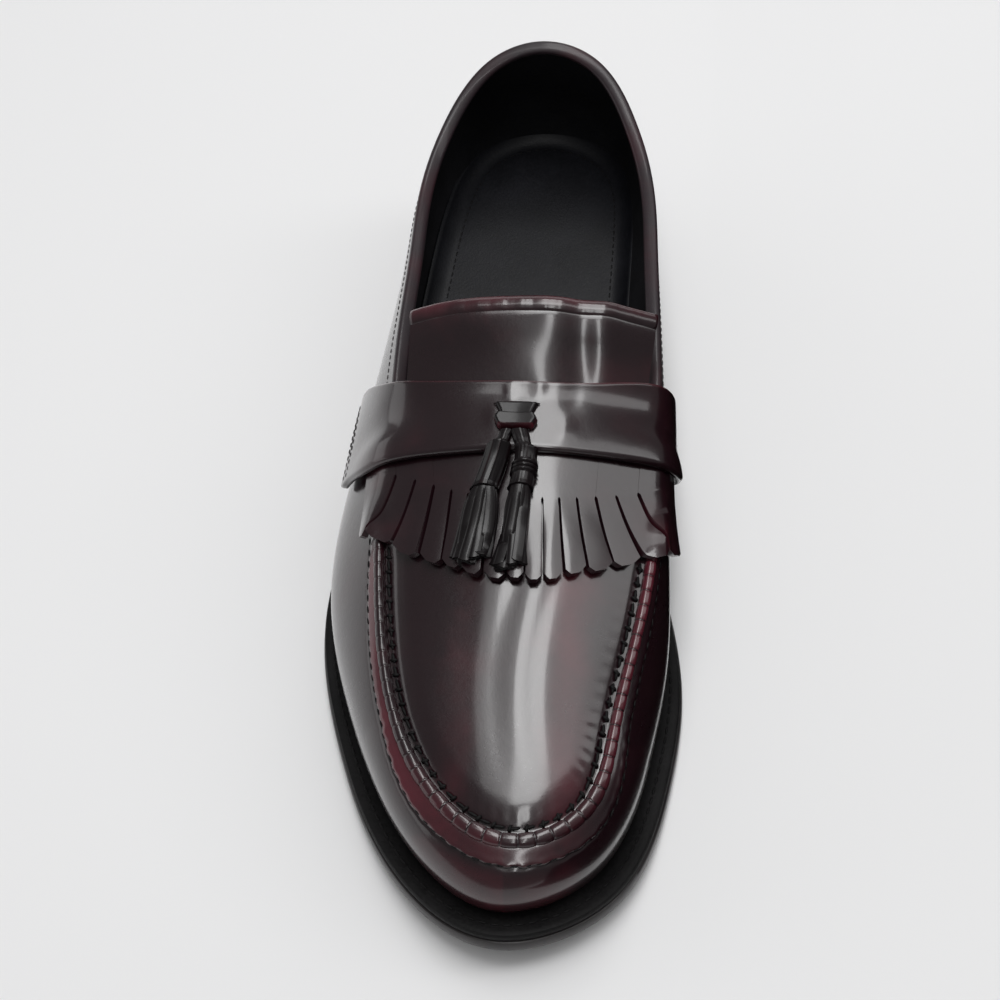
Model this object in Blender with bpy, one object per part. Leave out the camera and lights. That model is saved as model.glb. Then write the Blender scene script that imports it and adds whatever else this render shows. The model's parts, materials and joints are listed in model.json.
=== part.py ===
"""Tassel loafer with a fringed saddle, right shoe, as separate solid parts.

Frame: +Z up, +Y from the toe to the heel, +X towards the other foot, metres.
The floor is z = 0 and the middle of the sole's plan is the origin.

A column is one place around the shoe: a side and a station. Stations run from
0 at the heel's back over 1 (start of the straight axis) and 2 (its front end)
to 3 at the toe tip, and each column looks out from the axis along its own ray.
"""
import math
from typing import NamedTuple

import bmesh
import bpy
import numpy as np
from mathutils import Matrix, Vector
from mathutils.bvhtree import BVHTree

SOLE_LENGTH = 0.302
BALL_WIDTH = 0.1085
HEEL_SEAT_HEIGHT = 0.0226
HEEL_LENGTH = 0.072
TOE_SPRING = 0.0085
TOP_PIECE_THICK = 0.006
OUTSOLE_THICK = 0.005
WELT_THICK = 0.0035
INSOLE_THICK = 0.003
WALL = 0.0022
GAP = 0.0003
BACK_HEIGHT = 0.083
BINDING_DROP = 0.0030
SEAM_RIDGE = 0.0016
SEAM_HALF_WIDTH = 0.0026
VAMP_CROWN = 5.6
TONGUE_THICK = 0.0022
STRAP_THICK = 0.0020
BAND_EASE = 0.0004
FRINGE_THICK = 0.0017
FRINGE_STRIPS = 15
SLIT_WIDTH = 0.0007
TASSEL_STRIPS = 6
HEEL_PIVOT = (0.0020, 0.1160)
TOE_PIVOT = (0.0080, -0.0970)
THROAT = 1.60
OUTSIDE, INSIDE = -1, 1


class EdgePoint(NamedTuple):
    """A point of the sole's edge.

    across: in half ball widths; along: from heel 0 to toe 1.
    """
    place: str
    across: float
    along: float


SOLE_EDGE = (
    EdgePoint("heel back", 0.055, 0.000),
    EdgePoint("heel corner, outside", -0.405, 0.033),
    EdgePoint("heel side, outside", -0.610, 0.129),
    EdgePoint("waist, outside", -0.710, 0.295),
    EdgePoint("behind the joints, outside", -0.932, 0.482),
    EdgePoint("joints, outside", -1.050, 0.641),
    EdgePoint("toes, outside", -0.840, 0.798),
    EdgePoint("toe corner, outside", -0.478, 0.927),
    EdgePoint("toe tip", 0.088, 1.000),
    EdgePoint("toe corner, inside", 0.650, 0.958),
    EdgePoint("toes, inside", 0.957, 0.819),
    EdgePoint("joints, inside", 1.007, 0.706),
    EdgePoint("behind the joints, inside", 0.859, 0.561),
    EdgePoint("waist, inside", 0.680, 0.374),
    EdgePoint("heel side, inside", 0.665, 0.169),
    EdgePoint("heel corner, inside", 0.515, 0.043),
)


class RimPoint(NamedTuple):
    """A point of the wall's upper edge: topline behind, apron seam in front.

    across and along as in EdgePoint; height: in back heights.
    """
    place: str
    across: float
    along: float
    height: float


RIM = (
    RimPoint("topline, back", 0.037, 0.0355, 1.007),
    RimPoint("topline, corner outside", -0.300, 0.055, 0.952),
    RimPoint("topline, heel outside", -0.550, 0.116, 0.813),
    RimPoint("topline, ankle outside", -0.640, 0.293, 0.765),
    RimPoint("topline, front outside", -0.640, 0.414, 0.771),
    RimPoint("throat outside", -0.625, 0.541, 0.723),
    RimPoint("instep outside", -0.632, 0.612, 0.657),
    RimPoint("joints outside", -0.588, 0.718, 0.566),
    RimPoint("apron side, outside", -0.447, 0.825, 0.500),
    RimPoint("apron corner, outside", -0.250, 0.888, 0.464),
    RimPoint("apron tip", 0.195, 0.936, 0.448),
    RimPoint("apron corner, inside", 0.538, 0.905, 0.458),
    RimPoint("apron side, inside", 0.668, 0.825, 0.506),
    RimPoint("joints inside", 0.778, 0.718, 0.584),
    RimPoint("instep inside", 0.837, 0.612, 0.675),
    RimPoint("throat inside", 0.837, 0.541, 0.747),
    RimPoint("topline, front inside", 0.809, 0.414, 0.819),
    RimPoint("topline, ankle inside", 0.769, 0.293, 0.813),
    RimPoint("topline, heel inside", 0.612, 0.116, 0.849),
    RimPoint("topline, corner inside", 0.385, 0.057, 0.964),
)


class WallShape(NamedTuple):
    """The wall's swell on its way up: the pulls of its curve's two handles.

    Pulls are in metres away from the axis, outside and inside of the foot;
    up and down are shares of the wall's height.
    """
    place: str
    station: float
    low_outside: float
    low_inside: float
    low_up: float
    high_outside: float
    high_inside: float
    high_down: float


WALLS = (
    WallShape("heel back", 0.00, 0.0045, 0.0045, 0.36, 0.0080, 0.0080, 0.40),
    WallShape("heel corner", 0.50, 0.0055, 0.0050, 0.38, 0.0090, 0.0090, 0.40),
    WallShape("heel side", 1.00, 0.0062, 0.0045, 0.38, 0.0065, 0.0035, 0.40),
    WallShape("ankle", 1.25, 0.0085, 0.0060, 0.38, 0.0072, 0.0040, 0.38),
    WallShape("collar front", 1.42, 0.0090, 0.0085, 0.38, 0.0095, 0.0050, 0.38),
    WallShape("throat", 1.60, 0.0085, 0.0060, 0.38, 0.0115, 0.0065, 0.38),
    WallShape("behind joints", 1.72, 0.0075, 0.0045, 0.38, 0.0125, 0.0080, 0.36),
    WallShape("joints", 1.85, 0.0060, 0.0040, 0.40, 0.0130, 0.0095, 0.30),
    WallShape("toe side", 2.00, 0.0048, 0.0045, 0.42, 0.0120, 0.0090, 0.22),
    WallShape("toe corner", 2.50, 0.0045, 0.0045, 0.45, 0.0105, 0.0085, 0.16),
    WallShape("toe tip", 3.00, 0.0045, 0.0045, 0.45, 0.0100, 0.0100, 0.16),
)


class RisePoint(NamedTuple):
    """Height of the outsole's underside over the floor, by place along."""
    along: float
    of_heel: float
    of_spring: float


RISE = (
    RisePoint(0.000, 1.000, 0.00),
    RisePoint(0.136, 0.960, 0.00),
    RisePoint(0.248, 0.840, 0.00),
    RisePoint(0.384, 0.420, 0.00),
    RisePoint(0.533, 0.053, 0.00),
    RisePoint(0.632, 0.000, 0.00),
    RisePoint(0.758, 0.000, 0.00),
    RisePoint(0.815, 0.000, 0.06),
    RisePoint(0.914, 0.000, 0.42),
    RisePoint(1.000, 0.000, 1.00),
)


class MarginPoint(NamedTuple):
    """Width of the welt outside the upper's foot, by place along."""
    along: float
    width: float


MARGIN = (
    MarginPoint(0.000, 0.0030),
    MarginPoint(0.200, 0.0030),
    MarginPoint(0.370, 0.0035),
    MarginPoint(0.500, 0.0046),
    MarginPoint(0.700, 0.0068),
    MarginPoint(0.864, 0.0078),
    MarginPoint(1.000, 0.0083),
)


class BandEdge(NamedTuple):
    """Front and rear edge of a band over the instep, by angle from the top.

    angle: degrees, outside negative; front, rear: y in metres.
    """
    angle: float
    front: float
    rear: float


STRAP_EDGES = (
    BandEdge(-84.0, -0.0150, 0.0200),
    BandEdge(-64.0, -0.0210, 0.0130),
    BandEdge(-46.0, -0.0235, 0.0030),
    BandEdge(-25.0, -0.0245, -0.0020),
    BandEdge(0.0, -0.0245, -0.0030),
    BandEdge(25.0, -0.0245, -0.0020),
    BandEdge(46.0, -0.0235, 0.0030),
    BandEdge(64.0, -0.0190, 0.0120),
    BandEdge(76.0, -0.0140, 0.0200),
)


class FringeEdge(NamedTuple):
    """Where the fringe's slits start and its strips end, by share across.

    across: -1 outside edge to 1 inside edge; slit, end: y in metres.
    """
    across: float
    slit: float
    end: float


FRINGE_EDGES = (
    FringeEdge(-1.00, -0.0225, -0.0360),
    FringeEdge(-0.80, -0.0255, -0.0455),
    FringeEdge(-0.65, -0.0295, -0.0530),
    FringeEdge(-0.45, -0.0340, -0.0580),
    FringeEdge(0.00, -0.0370, -0.0615),
    FringeEdge(0.35, -0.0360, -0.0595),
    FringeEdge(0.60, -0.0330, -0.0545),
    FringeEdge(0.80, -0.0280, -0.0480),
    FringeEdge(1.00, -0.0230, -0.0380),
)
FRINGE_REAR = -0.0145
FRINGE_REAR_ANGLE = 64.0
FRINGE_END_ANGLE = 82.0
FRINGE_GATHER = 0.80


class TonguePoint(NamedTuple):
    """A section of the tongue: its side edges, ridge height and arch."""
    y: float
    left: float
    right: float
    ridge: float
    arch: float


TONGUE = (
    TonguePoint(-0.0112, -0.0300, 0.0415, 0.0698, 0.0078),
    TonguePoint(-0.0020, -0.0300, 0.0418, 0.0740, 0.0078),
    TonguePoint(0.0080, -0.0296, 0.0428, 0.0808, 0.0076),
    TonguePoint(0.0172, -0.0292, 0.0440, 0.0874, 0.0074),
)


class TasselPoint(NamedTuple):
    """A point of a tassel's middle line: place in plan and size of its body."""
    place: str
    x: float
    y: float
    half_wide: float
    half_high: float


TASSEL_OUTER = (
    TasselPoint("knot", 0.0012, -0.0205, 0.0016, 0.0014),
    TasselPoint("head start", 0.0004, -0.0235, 0.0036, 0.0030),
    TasselPoint("head", -0.0020, -0.0300, 0.0043, 0.0036),
    TasselPoint("head end", -0.0042, -0.0370, 0.0045, 0.0035),
    TasselPoint("skirt start", -0.0054, -0.0410, 0.0052, 0.0030),
    TasselPoint("skirt", -0.0080, -0.0515, 0.0064, 0.0024),
)
TASSEL_INNER = (
    TasselPoint("knot", 0.0072, -0.0205, 0.0016, 0.0014),
    TasselPoint("head start", 0.0078, -0.0235, 0.0034, 0.0030),
    TasselPoint("head", 0.0086, -0.0300, 0.0039, 0.0036),
    TasselPoint("head end", 0.0091, -0.0375, 0.0042, 0.0035),
    TasselPoint("skirt start", 0.0094, -0.0415, 0.0050, 0.0030),
    TasselPoint("skirt", 0.0102, -0.0540, 0.0062, 0.0024),
)


class Finish(NamedTuple):
    """A part's material."""
    name: str
    colour: tuple
    roughness: float


LEATHER = Finish("burgundy_leather", (0.075, 0.010, 0.016, 1.0), 0.22)
EDGE_LEATHER = Finish("dark_edge_leather", (0.018, 0.015, 0.016, 1.0), 0.45)
WELT_LEATHER = Finish("black_welt_leather", (0.012, 0.011, 0.011, 1.0), 0.60)
LINING = Finish("black_lining_leather", (0.010, 0.010, 0.011, 1.0), 0.65)
RUBBER = Finish("black_rubber", (0.015, 0.015, 0.015, 1.0), 0.75)


def plan(across, along):
    """Turn shares of the sole's size into plan coordinates in metres."""
    return across * BALL_WIDTH / 2, (0.5 - along) * SOLE_LENGTH


def unit(vectors):
    """Rows scaled to length one."""
    return vectors / np.linalg.norm(vectors, axis=1)[:, None]


def column_of(table, field):
    """One column of a table as an array."""
    return np.array([getattr(row, field) for row in table], float)


def closed_spline(points, count):
    """Smooth closed curve of count points through the given points."""
    p = np.asarray(points, float)
    n = len(p)
    ring = np.vstack([p, p[:1]])
    h = np.linalg.norm(np.diff(ring[:, :2], axis=0), axis=1)
    lhs, rhs = np.zeros((n, n)), np.zeros(p.shape)
    for i in range(n):
        back, ahead = h[i - 1], h[i]
        lhs[i, (i - 1) % n] += back
        lhs[i, i] += 2 * (back + ahead)
        lhs[i, (i + 1) % n] += ahead
        rhs[i] = 6 * ((ring[i + 1] - ring[i]) / ahead - (p[i] - p[i - 1]) / back)
    bend = np.linalg.solve(lhs, rhs)
    bend = np.vstack([bend, bend[:1]])
    at = np.concatenate([[0], np.cumsum(h)])
    s = np.linspace(0, at[-1], count, endpoint=False)
    k = np.clip(np.searchsorted(at, s, side="right") - 1, 0, n - 1)
    hk = h[k][:, None]
    a = (at[k + 1] - s)[:, None] / hk
    b = 1 - a
    return (a * ring[k] + b * ring[k + 1]
            + ((a**3 - a) * bend[k] + (b**3 - b) * bend[k + 1]) * hk**2 / 6)


def eased(xs, ys, x):
    """Cubic spline with level ends."""
    x = np.clip(np.asarray(x, float), xs[0], xs[-1])
    n, h = len(xs), np.diff(xs)
    slope = np.diff(ys) / h
    lhs, rhs = np.eye(n), np.zeros(n)
    lhs[0, :2] = 2 * h[0], h[0]
    lhs[-1, -2:] = h[-1], 2 * h[-1]
    rhs[0], rhs[-1] = 6 * slope[0], -6 * slope[-1]
    for i in range(1, n - 1):
        lhs[i, i - 1:i + 2] = h[i - 1], 2 * (h[i - 1] + h[i]), h[i]
        rhs[i] = 6 * (slope[i] - slope[i - 1])
    bend = np.linalg.solve(lhs, rhs)
    k = np.clip(np.searchsorted(xs, x, side="right") - 1, 0, n - 2)
    a = (xs[k + 1] - x) / h[k]
    b = 1 - a
    return (a * ys[k] + b * ys[k + 1]
            + ((a**3 - a) * bend[k] + (b**3 - b) * bend[k + 1]) * h[k]**2 / 6)


def held(xs, ys, x):
    """Monotone cubic that stays level where its table is level."""
    x = np.clip(np.asarray(x, float), xs[0], xs[-1])
    h = np.diff(xs)
    slope = np.diff(ys) / h
    m = np.zeros(len(xs))
    m[0], m[-1] = slope[0], slope[-1]
    for i in range(1, len(xs) - 1):
        if slope[i - 1] * slope[i] > 0:
            w1, w2 = 2 * h[i] + h[i - 1], h[i] + 2 * h[i - 1]
            m[i] = (w1 + w2) / (w1 / slope[i - 1] + w2 / slope[i])
    k = np.clip(np.searchsorted(xs, x, side="right") - 1, 0, len(h) - 1)
    t = (x - xs[k]) / h[k]
    return ((1 + 2 * t) * (1 - t)**2 * ys[k] + t * (1 - t)**2 * h[k] * m[k]
            + t * t * (3 - 2 * t) * ys[k + 1] + t * t * (t - 1) * h[k] * m[k + 1])


def inset(curve, by):
    """Move a closed plan curve, listed heel first down the outside, inwards."""
    along = np.roll(curve, -1, 0) - np.roll(curve, 1, 0)
    along /= np.linalg.norm(along, axis=1)[:, None]
    inward = np.stack([-along[:, 1], along[:, 0]], 1)
    return curve + inward * np.asarray(by)[..., None]


def along_of(y):
    """Share of the sole's length from the heel at y."""
    return 0.5 - np.asarray(y) / SOLE_LENGTH


def underside(y):
    """Height of the outsole's underside."""
    heights = (column_of(RISE, "of_heel") * HEEL_SEAT_HEIGHT
               + column_of(RISE, "of_spring") * TOE_SPRING)
    return held(column_of(RISE, "along"), heights, along_of(y))


def seat(y):
    """Height of the welt's top, where the upper and the insole stand."""
    return underside(y) + OUTSOLE_THICK + WELT_THICK


SOLE_CURVE = closed_spline([plan(p.across, p.along) for p in SOLE_EDGE], 1440)
RIM_CURVE = closed_spline(
    [(*plan(p.across, p.along), p.height * BACK_HEIGHT) for p in RIM], 1440)
FOOT_CURVE = inset(SOLE_CURVE, held(column_of(MARGIN, "along"),
                                    column_of(MARGIN, "width"),
                                    along_of(SOLE_CURVE[:, 1])))


def rays(s, side):
    """Axis point and outward direction of each column."""
    heel, toe = np.array(HEEL_PIVOT), np.array(TOE_PIVOT)
    pivots = heel + np.clip(s - 1, 0, 1)[:, None] * (toe - heel)
    turn = np.where(s < 1, s, np.where(s > 2, 3 - s, 1.0)) * math.pi / 2
    ahead = np.where(s < 1.5, 1.0, -1.0)
    return pivots, np.stack([side * np.sin(turn), ahead * np.cos(turn)], 1)


def reach(pivots, directions, curve):
    """Where each ray leaves a closed curve, with all the curve's columns."""
    a, e = curve, np.roll(curve, -1, 0) - curve
    found = np.zeros((len(pivots), curve.shape[1]))
    for i, (p, u) in enumerate(zip(pivots, directions)):
        cross = u[0] * e[:, 1] - u[1] * e[:, 0]
        cross = np.where(np.abs(cross) < 1e-15, 1e-15, cross)
        w = a[:, :2] - p
        t = (w[:, 0] * e[:, 1] - w[:, 1] * e[:, 0]) / cross
        k = (w[:, 0] * u[1] - w[:, 1] * u[0]) / cross
        hit = np.where((k >= -1e-9) & (k < 1 + 1e-9) & (t > 0))[0]
        j = hit[t[hit].argmax()]
        found[i] = a[j] + e[j] * k[j]
    return found


class WallCurves:
    """The wall's curve from foot to rim at each column of the ring."""

    def __init__(self, stations, sides):
        self.stations, self.sides = stations, sides
        self.pivots, out = rays(stations, sides)
        foot = reach(self.pivots, out, FOOT_CURVE)
        self.foot = np.c_[foot, seat(foot[:, 1]) + GAP]
        self.rim = reach(self.pivots, out, RIM_CURVE)
        self.out = np.c_[out, np.zeros(len(out))]
        tall = (self.rim - self.foot)[:, 2]
        self.low = self.foot + self.out * self._pull("low")[:, None]
        self.low[:, 2] += self._share("low_up") * tall
        self.high = self.rim + self.out * self._pull("high")[:, None]
        self.high[:, 2] -= self._share("high_down") * tall

    def _share(self, field):
        return eased(column_of(WALLS, "station"), column_of(WALLS, field),
                     self.stations)

    def _pull(self, field):
        return np.where(self.sides == OUTSIDE, self._share(field + "_outside"),
                        self._share(field + "_inside"))

    def at(self, share):
        """Points at a share of each curve."""
        t = np.broadcast_to(share, len(self.stations))[:, None]
        u = 1 - t
        return (u**3 * self.foot + 3 * u * u * t * self.low
                + 3 * u * t * t * self.high + t**3 * self.rim)

    def upward(self):
        """Unit direction in which each curve arrives at the rim."""
        return unit(self.rim - self.high)

    def along(self):
        """Unit direction of the rim from column to column."""
        return unit(np.roll(self.rim, -1, 0) - np.roll(self.rim, 1, 0))

    def share_below_rim(self, drop):
        """Share that ends a drop, square to the rim, below it."""
        slant = (self.upward() * self.along()).sum(1)
        arc = 3 * np.linalg.norm(self.rim - self.high, axis=1)
        return 1 - drop / np.sqrt(1 - slant**2) / arc


def rims_at(y):
    """Rim points level with y: outside x and z, then inside x and z."""
    tip = RIM_CURVE[:, 1].argmin()
    outer, inner = RIM_CURVE[:tip + 1][::-1], RIM_CURVE[tip:]
    return (np.interp(y, outer[:, 1], outer[:, 0]),
            np.interp(y, outer[:, 1], outer[:, 2]),
            np.interp(y, inner[:, 1], inner[:, 0]),
            np.interp(y, inner[:, 1], inner[:, 2]))


def vamp_height(x, y):
    """Height of the apron panel between the two arms of its seam."""
    left, low, right, high = rims_at(y)
    k = np.clip((x - left) / np.maximum(right - left, 1e-6), 0, 1)
    return (low + (high - low) * k
            + VAMP_CROWN * np.maximum(right - x, 0) * np.maximum(x - left, 0))


class Sheet:
    """An open surface; faces wind so that their normal points out."""

    def __init__(self):
        self.points = []
        self.faces = []
        self._known = {}

    def add(self, point):
        """Index of the point, shared with an equal one already there."""
        key = tuple(round(float(c) * 1e7) for c in point)
        if key not in self._known:
            self._known[key] = len(self.points)
            self.points.append(tuple(float(c) for c in point))
        return self._known[key]

    def row(self, points):
        """Indices of a row of points."""
        return [self.add(p) for p in points]

    def span(self, low, high, closed=False):
        """Faces between two rows of the same length."""
        n = len(low)
        for i in range(n if closed else n - 1):
            j = (i + 1) % n
            face = []
            for v in (low[i], low[j], high[j], high[i]):
                if v not in face:
                    face.append(v)
            if len(face) > 2:
                self.faces.append(tuple(face))

    def normals(self):
        """Unit normals of the points."""
        p = np.array(self.points)
        n = np.zeros_like(p)
        for face in self.faces:
            q = p[list(face)]
            n[list(face)] += np.cross(q, np.roll(q, -1, 0)).sum(0)
        return n / np.linalg.norm(n, axis=1)[:, None]

    def thicken(self, under):
        """Close the sheet with a second skin of matching points."""
        n = len(self.points)
        edges = {(f[i - 1], f[i]) for f in self.faces for i in range(len(f))}
        faces = list(self.faces) + [tuple(v + n for v in reversed(f))
                                    for f in self.faces]
        faces += [(b, a, a + n, b + n) for a, b in edges if (b, a) not in edges]
        return self.points + [tuple(p) for p in np.asarray(under)], faces


class Shoe:
    """Collects the parts' objects and their materials."""

    def __init__(self, name):
        self.parts = bpy.data.collections.new(name)
        bpy.context.scene.collection.children.link(self.parts)
        self.objects = {}

    def _material(self, part, finish):
        mat = bpy.data.materials.new(part + "_" + finish.name)
        mat.use_nodes = True
        shader = mat.node_tree.nodes["Principled BSDF"]
        shader.inputs["Base Color"].default_value = finish.colour
        shader.inputs["Roughness"].default_value = finish.roughness
        return mat

    def add(self, name, points, faces, finish):
        """Make one part from points and faces."""
        mesh = bpy.data.meshes.new(name)
        mesh.from_pydata([tuple(p) for p in points], [], faces)
        bm = bmesh.new()
        bm.from_mesh(mesh)
        bmesh.ops.recalc_face_normals(bm, faces=bm.faces)
        bm.to_mesh(mesh)
        bm.free()
        mesh.materials.append(self._material(name, finish))
        for face in mesh.polygons:
            face.use_smooth = True
        obj = bpy.data.objects.new(name, mesh)
        self.parts.objects.link(obj)
        self.objects[name] = obj
        return obj

    def centre(self):
        """Put the middle of the sole's plan over the origin."""
        middle = (SOLE_CURVE.max(0) + SOLE_CURVE.min(0)) / 2
        move = Matrix.Translation((-middle[0], -middle[1], 0.0))
        for obj in self.objects.values():
            obj.data.transform(move)


def loft(rings, closed_ends=False):
    """Skin a chain of closed rings; the ends are capped or shrink by themselves."""
    sheet = Sheet()
    rows = [sheet.row(ring) for ring in rings]
    for low, high in zip(rows, rows[1:]):
        sheet.span(low, high, closed=True)
    faces = list(sheet.faces)
    if closed_ends:
        faces += [tuple(reversed(rows[0])), tuple(rows[-1])]
    return sheet.points, faces


STATIONS = np.array([0, 0.17, 0.34, 0.5, 0.66, 0.83, 1.0, 1.09, 1.18, 1.27, 1.36,
                     1.45, 1.53, 1.565, THROAT, 1.68, 1.75, 1.82, 1.91, 2.0,
                     2.11, 2.22, 2.33, 2.44, 2.55, 2.66, 2.78, 2.89, 3.0])
RING = np.concatenate([STATIONS, STATIONS[1:-1][::-1]])
RING_SIDES = np.repeat([OUTSIDE, INSIDE], [len(STATIONS), len(STATIONS) - 2])


def slab(curve, bottom, top, soft):
    """A plate with the given plan, heights and softened edge."""
    pivots, out = rays(RING, RING_SIDES)
    edge = reach(pivots, out, curve)

    def ring(share, back, height, lift):
        p = pivots + (edge - out * back - pivots) * share
        return np.c_[p, height(p[:, 1]) + lift]

    shares = (0.0, 0.35, 0.6, 0.82, 1.0)
    rings = [ring(k, soft, bottom, 0.0) for k in shares]
    rings += [ring(1.0, 0.0, bottom, soft), ring(1.0, 0.0, top, -soft)]
    rings += [ring(k, soft, top, 0.0) for k in reversed(shares)]
    return loft(rings)


def heel_plan(back):
    """The heel's plan: the sole's edge behind the breast, and a hollow breast."""
    breast = SOLE_LENGTH / 2 - HEEL_LENGTH
    curve = inset(SOLE_CURVE, back)
    start = int(np.argmax(curve[:, 1]))
    curve = np.roll(curve, -start, 0)
    behind = curve[:, 1] >= breast
    first = int(np.argmin(behind))
    last = len(curve) - int(np.argmin(behind[::-1]))
    run = np.vstack([curve[last:], curve[:first]])
    pick = np.linspace(0, len(run) - 1, 27).astype(int)
    run = run[pick]
    t = np.linspace(0, 1, 8)[1:-1]
    hollow = 0.0035 * np.sin(math.pi * t)
    front = run[-1] + (run[0] - run[-1]) * t[:, None]
    front[:, 1] += hollow
    return np.vstack([run, front])


def heel_lift(low_back, high_back, bottom, top):
    """One lift of the heel between two heights."""
    middle = np.array([0.0, SOLE_LENGTH / 2 - 0.55 * HEEL_LENGTH])
    low, high = heel_plan(low_back), heel_plan(high_back)

    def ring(points, share, height):
        p = middle + (points - middle) * share
        return np.c_[p, height(p[:, 1])]

    return loft([ring(low, k, bottom) for k in (0.0, 0.5, 1.0)]
                + [ring(high, k, top) for k in (1.0, 0.5, 0.0)])


def build_bottom(shoe):
    """Outsole, welt, heel and insole."""
    shoe.add("outsole", *slab(
        SOLE_CURVE, underside, lambda y: underside(y) + OUTSOLE_THICK, 0.0008),
        EDGE_LEATHER)
    shoe.add("welt", *slab(
        inset(SOLE_CURVE, 0.0006),
        lambda y: underside(y) + OUTSOLE_THICK + GAP, seat, 0.0006),
        WELT_LEATHER)
    shoe.add("insole", *slab(
        inset(FOOT_CURVE, 1.1 * WALL + GAP), lambda y: seat(y) + 1.3 * GAP,
        lambda y: seat(y) + 1.3 * GAP + INSOLE_THICK, 0.0005),
        LINING)
    shoe.add("heel_block", *heel_lift(
        0.0016, 0.0008, lambda y: np.full(len(y), TOP_PIECE_THICK + GAP),
        lambda y: underside(y) - GAP), EDGE_LEATHER)
    shoe.add("heel_top_piece", *heel_lift(
        0.0020, 0.0016, lambda y: np.zeros(len(y)),
        lambda y: np.full(len(y), TOP_PIECE_THICK)), RUBBER)


WALL_ROWS = (0.0, 0.12, 0.26, 0.42, 0.58, 0.74, 0.87, 0.935, 0.97, 1.0)


def seam_ridge(distance, stations):
    """Height of the raised apron seam at a distance from the rim."""
    k = np.clip(distance / SEAM_HALF_WIDTH, 0, 1)
    grown = np.clip((stations - 1.68) / 0.14, 0, 1)
    return SEAM_RIDGE * (0.5 + 0.5 * np.cos(math.pi * k)) * (0.10 + 0.90 * grown)


def build_upper(shoe):
    """Walls, apron panel and raised seam as one hollow body."""
    walls = WallCurves(RING, RING_SIDES)
    front = RING >= THROAT - 1e-6
    end = np.where(front, 1.0, walls.share_below_rim(BINDING_DROP + 1.5 * GAP))
    lift = walls.out * 0.5 + np.array([0, 0, 0.85])
    sheet = Sheet()

    def wall_row(share):
        row = walls.at(share * end)
        away = np.linalg.norm(row - walls.rim, axis=1)
        grow = np.where(front, seam_ridge(away, RING), 0.0)
        return row + lift * grow[:, None]

    rows = [sheet.row(wall_row(share)) for share in WALL_ROWS]
    for low, high in zip(rows, rows[1:]):
        sheet.span(low, high, closed=True)

    pick = np.where(front)[0]
    pivots, out = walls.pivots[pick], walls.out[pick, :2]
    radius = np.linalg.norm(walls.rim[pick, :2] - pivots, axis=1)

    def apron_row(reach_in):
        p = pivots + out * reach_in[:, None]
        z = vamp_height(p[:, 0], p[:, 1])
        grow = seam_ridge(radius - reach_in, RING[pick])
        return np.c_[p, z] + lift[pick] * grow[:, None]

    reaches = [radius - 0.45 * SEAM_HALF_WIDTH, radius - SEAM_HALF_WIDTH,
               0.70 * radius, 0.36 * radius, 0.0 * radius]
    inner = [[rows[-1][i] for i in pick]] + [sheet.row(apron_row(r)) for r in reaches]
    for low, high in zip(inner, inner[1:]):
        sheet.span(low, high)

    under = np.array(sheet.points) - sheet.normals() * WALL
    foot = np.array(rows[0])
    under[foot] = np.array(sheet.points)[foot] - walls.out * 1.1 * WALL
    shoe.add("upper", *sheet.thicken(under), LEATHER)

    behind = int((STATIONS < THROAT - 0.05).sum())
    order = np.arange(1 - behind, behind)[::-1] % len(RING)
    build_binding(shoe, walls.rim[order], walls.upward()[order])


def build_binding(shoe, rim, upward):
    """The bead bound over the topline."""
    along = unit(np.gradient(rim, axis=0))
    across = unit(np.cross(along, upward))
    upward = np.cross(across, along)
    if (across[0] * (rim[0] - rim.mean(0))).sum() < 0:
        across = -across
    rings = []
    for p, n, u in zip(rim, across, upward):
        mid = p - n * (WALL / 2 - 0.0002) - u * (BINDING_DROP / 2 - 0.0001)
        ring = []
        for angle in np.linspace(0, 2 * math.pi, 10, endpoint=False):
            c, s = math.cos(angle), math.sin(angle)
            ring.append(mid + n * 0.00165 * math.copysign(abs(c)**0.8, c)
                        + u * BINDING_DROP / 2 * math.copysign(abs(s)**0.8, s))
        rings.append(ring)
    shoe.add("topline_binding", *loft(rings, closed_ends=True), LEATHER)


def build_tongue(shoe):
    """The tongue's plate and the rolled bead on its upper edge."""
    ys = column_of(TONGUE, "y")
    rows_at = np.linspace(ys[0], ys[-1], 8)
    u = np.linspace(-1, 1, 13)

    def section(y):
        left, right, ridge, arch = (eased(ys, column_of(TONGUE, f), y)
                                    for f in ("left", "right", "ridge", "arch"))
        x = left + (right - left) * (u + 1) / 2
        return np.c_[x, np.full(len(u), y), ridge - arch * np.abs(u)**2.2]

    sheet = Sheet()
    rows = [sheet.row(section(y)) for y in rows_at]
    for low, high in zip(rows, rows[1:]):
        sheet.span(low, high)
    under = np.array(sheet.points) - sheet.normals() * TONGUE_THICK
    shoe.add("tongue", *sheet.thicken(under), LEATHER)

    edge = section(rows_at[-1])
    slope = section(rows_at[-1]) - section(rows_at[-2])
    slope = unit(slope)
    up = np.cross(unit(np.gradient(edge, axis=0)), slope)
    rings = []
    for p, s, n in zip(edge, slope, up):
        mid = p + s * (0.0017 + GAP) - n * 0.0009
        rings.append([mid + s * 0.0017 * math.cos(a) + n * 0.0018 * math.sin(a)
                      for a in np.linspace(0, 2 * math.pi, 10, endpoint=False)])
    shoe.add("tongue_binding", *loft(rings, closed_ends=True), LEATHER)


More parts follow.
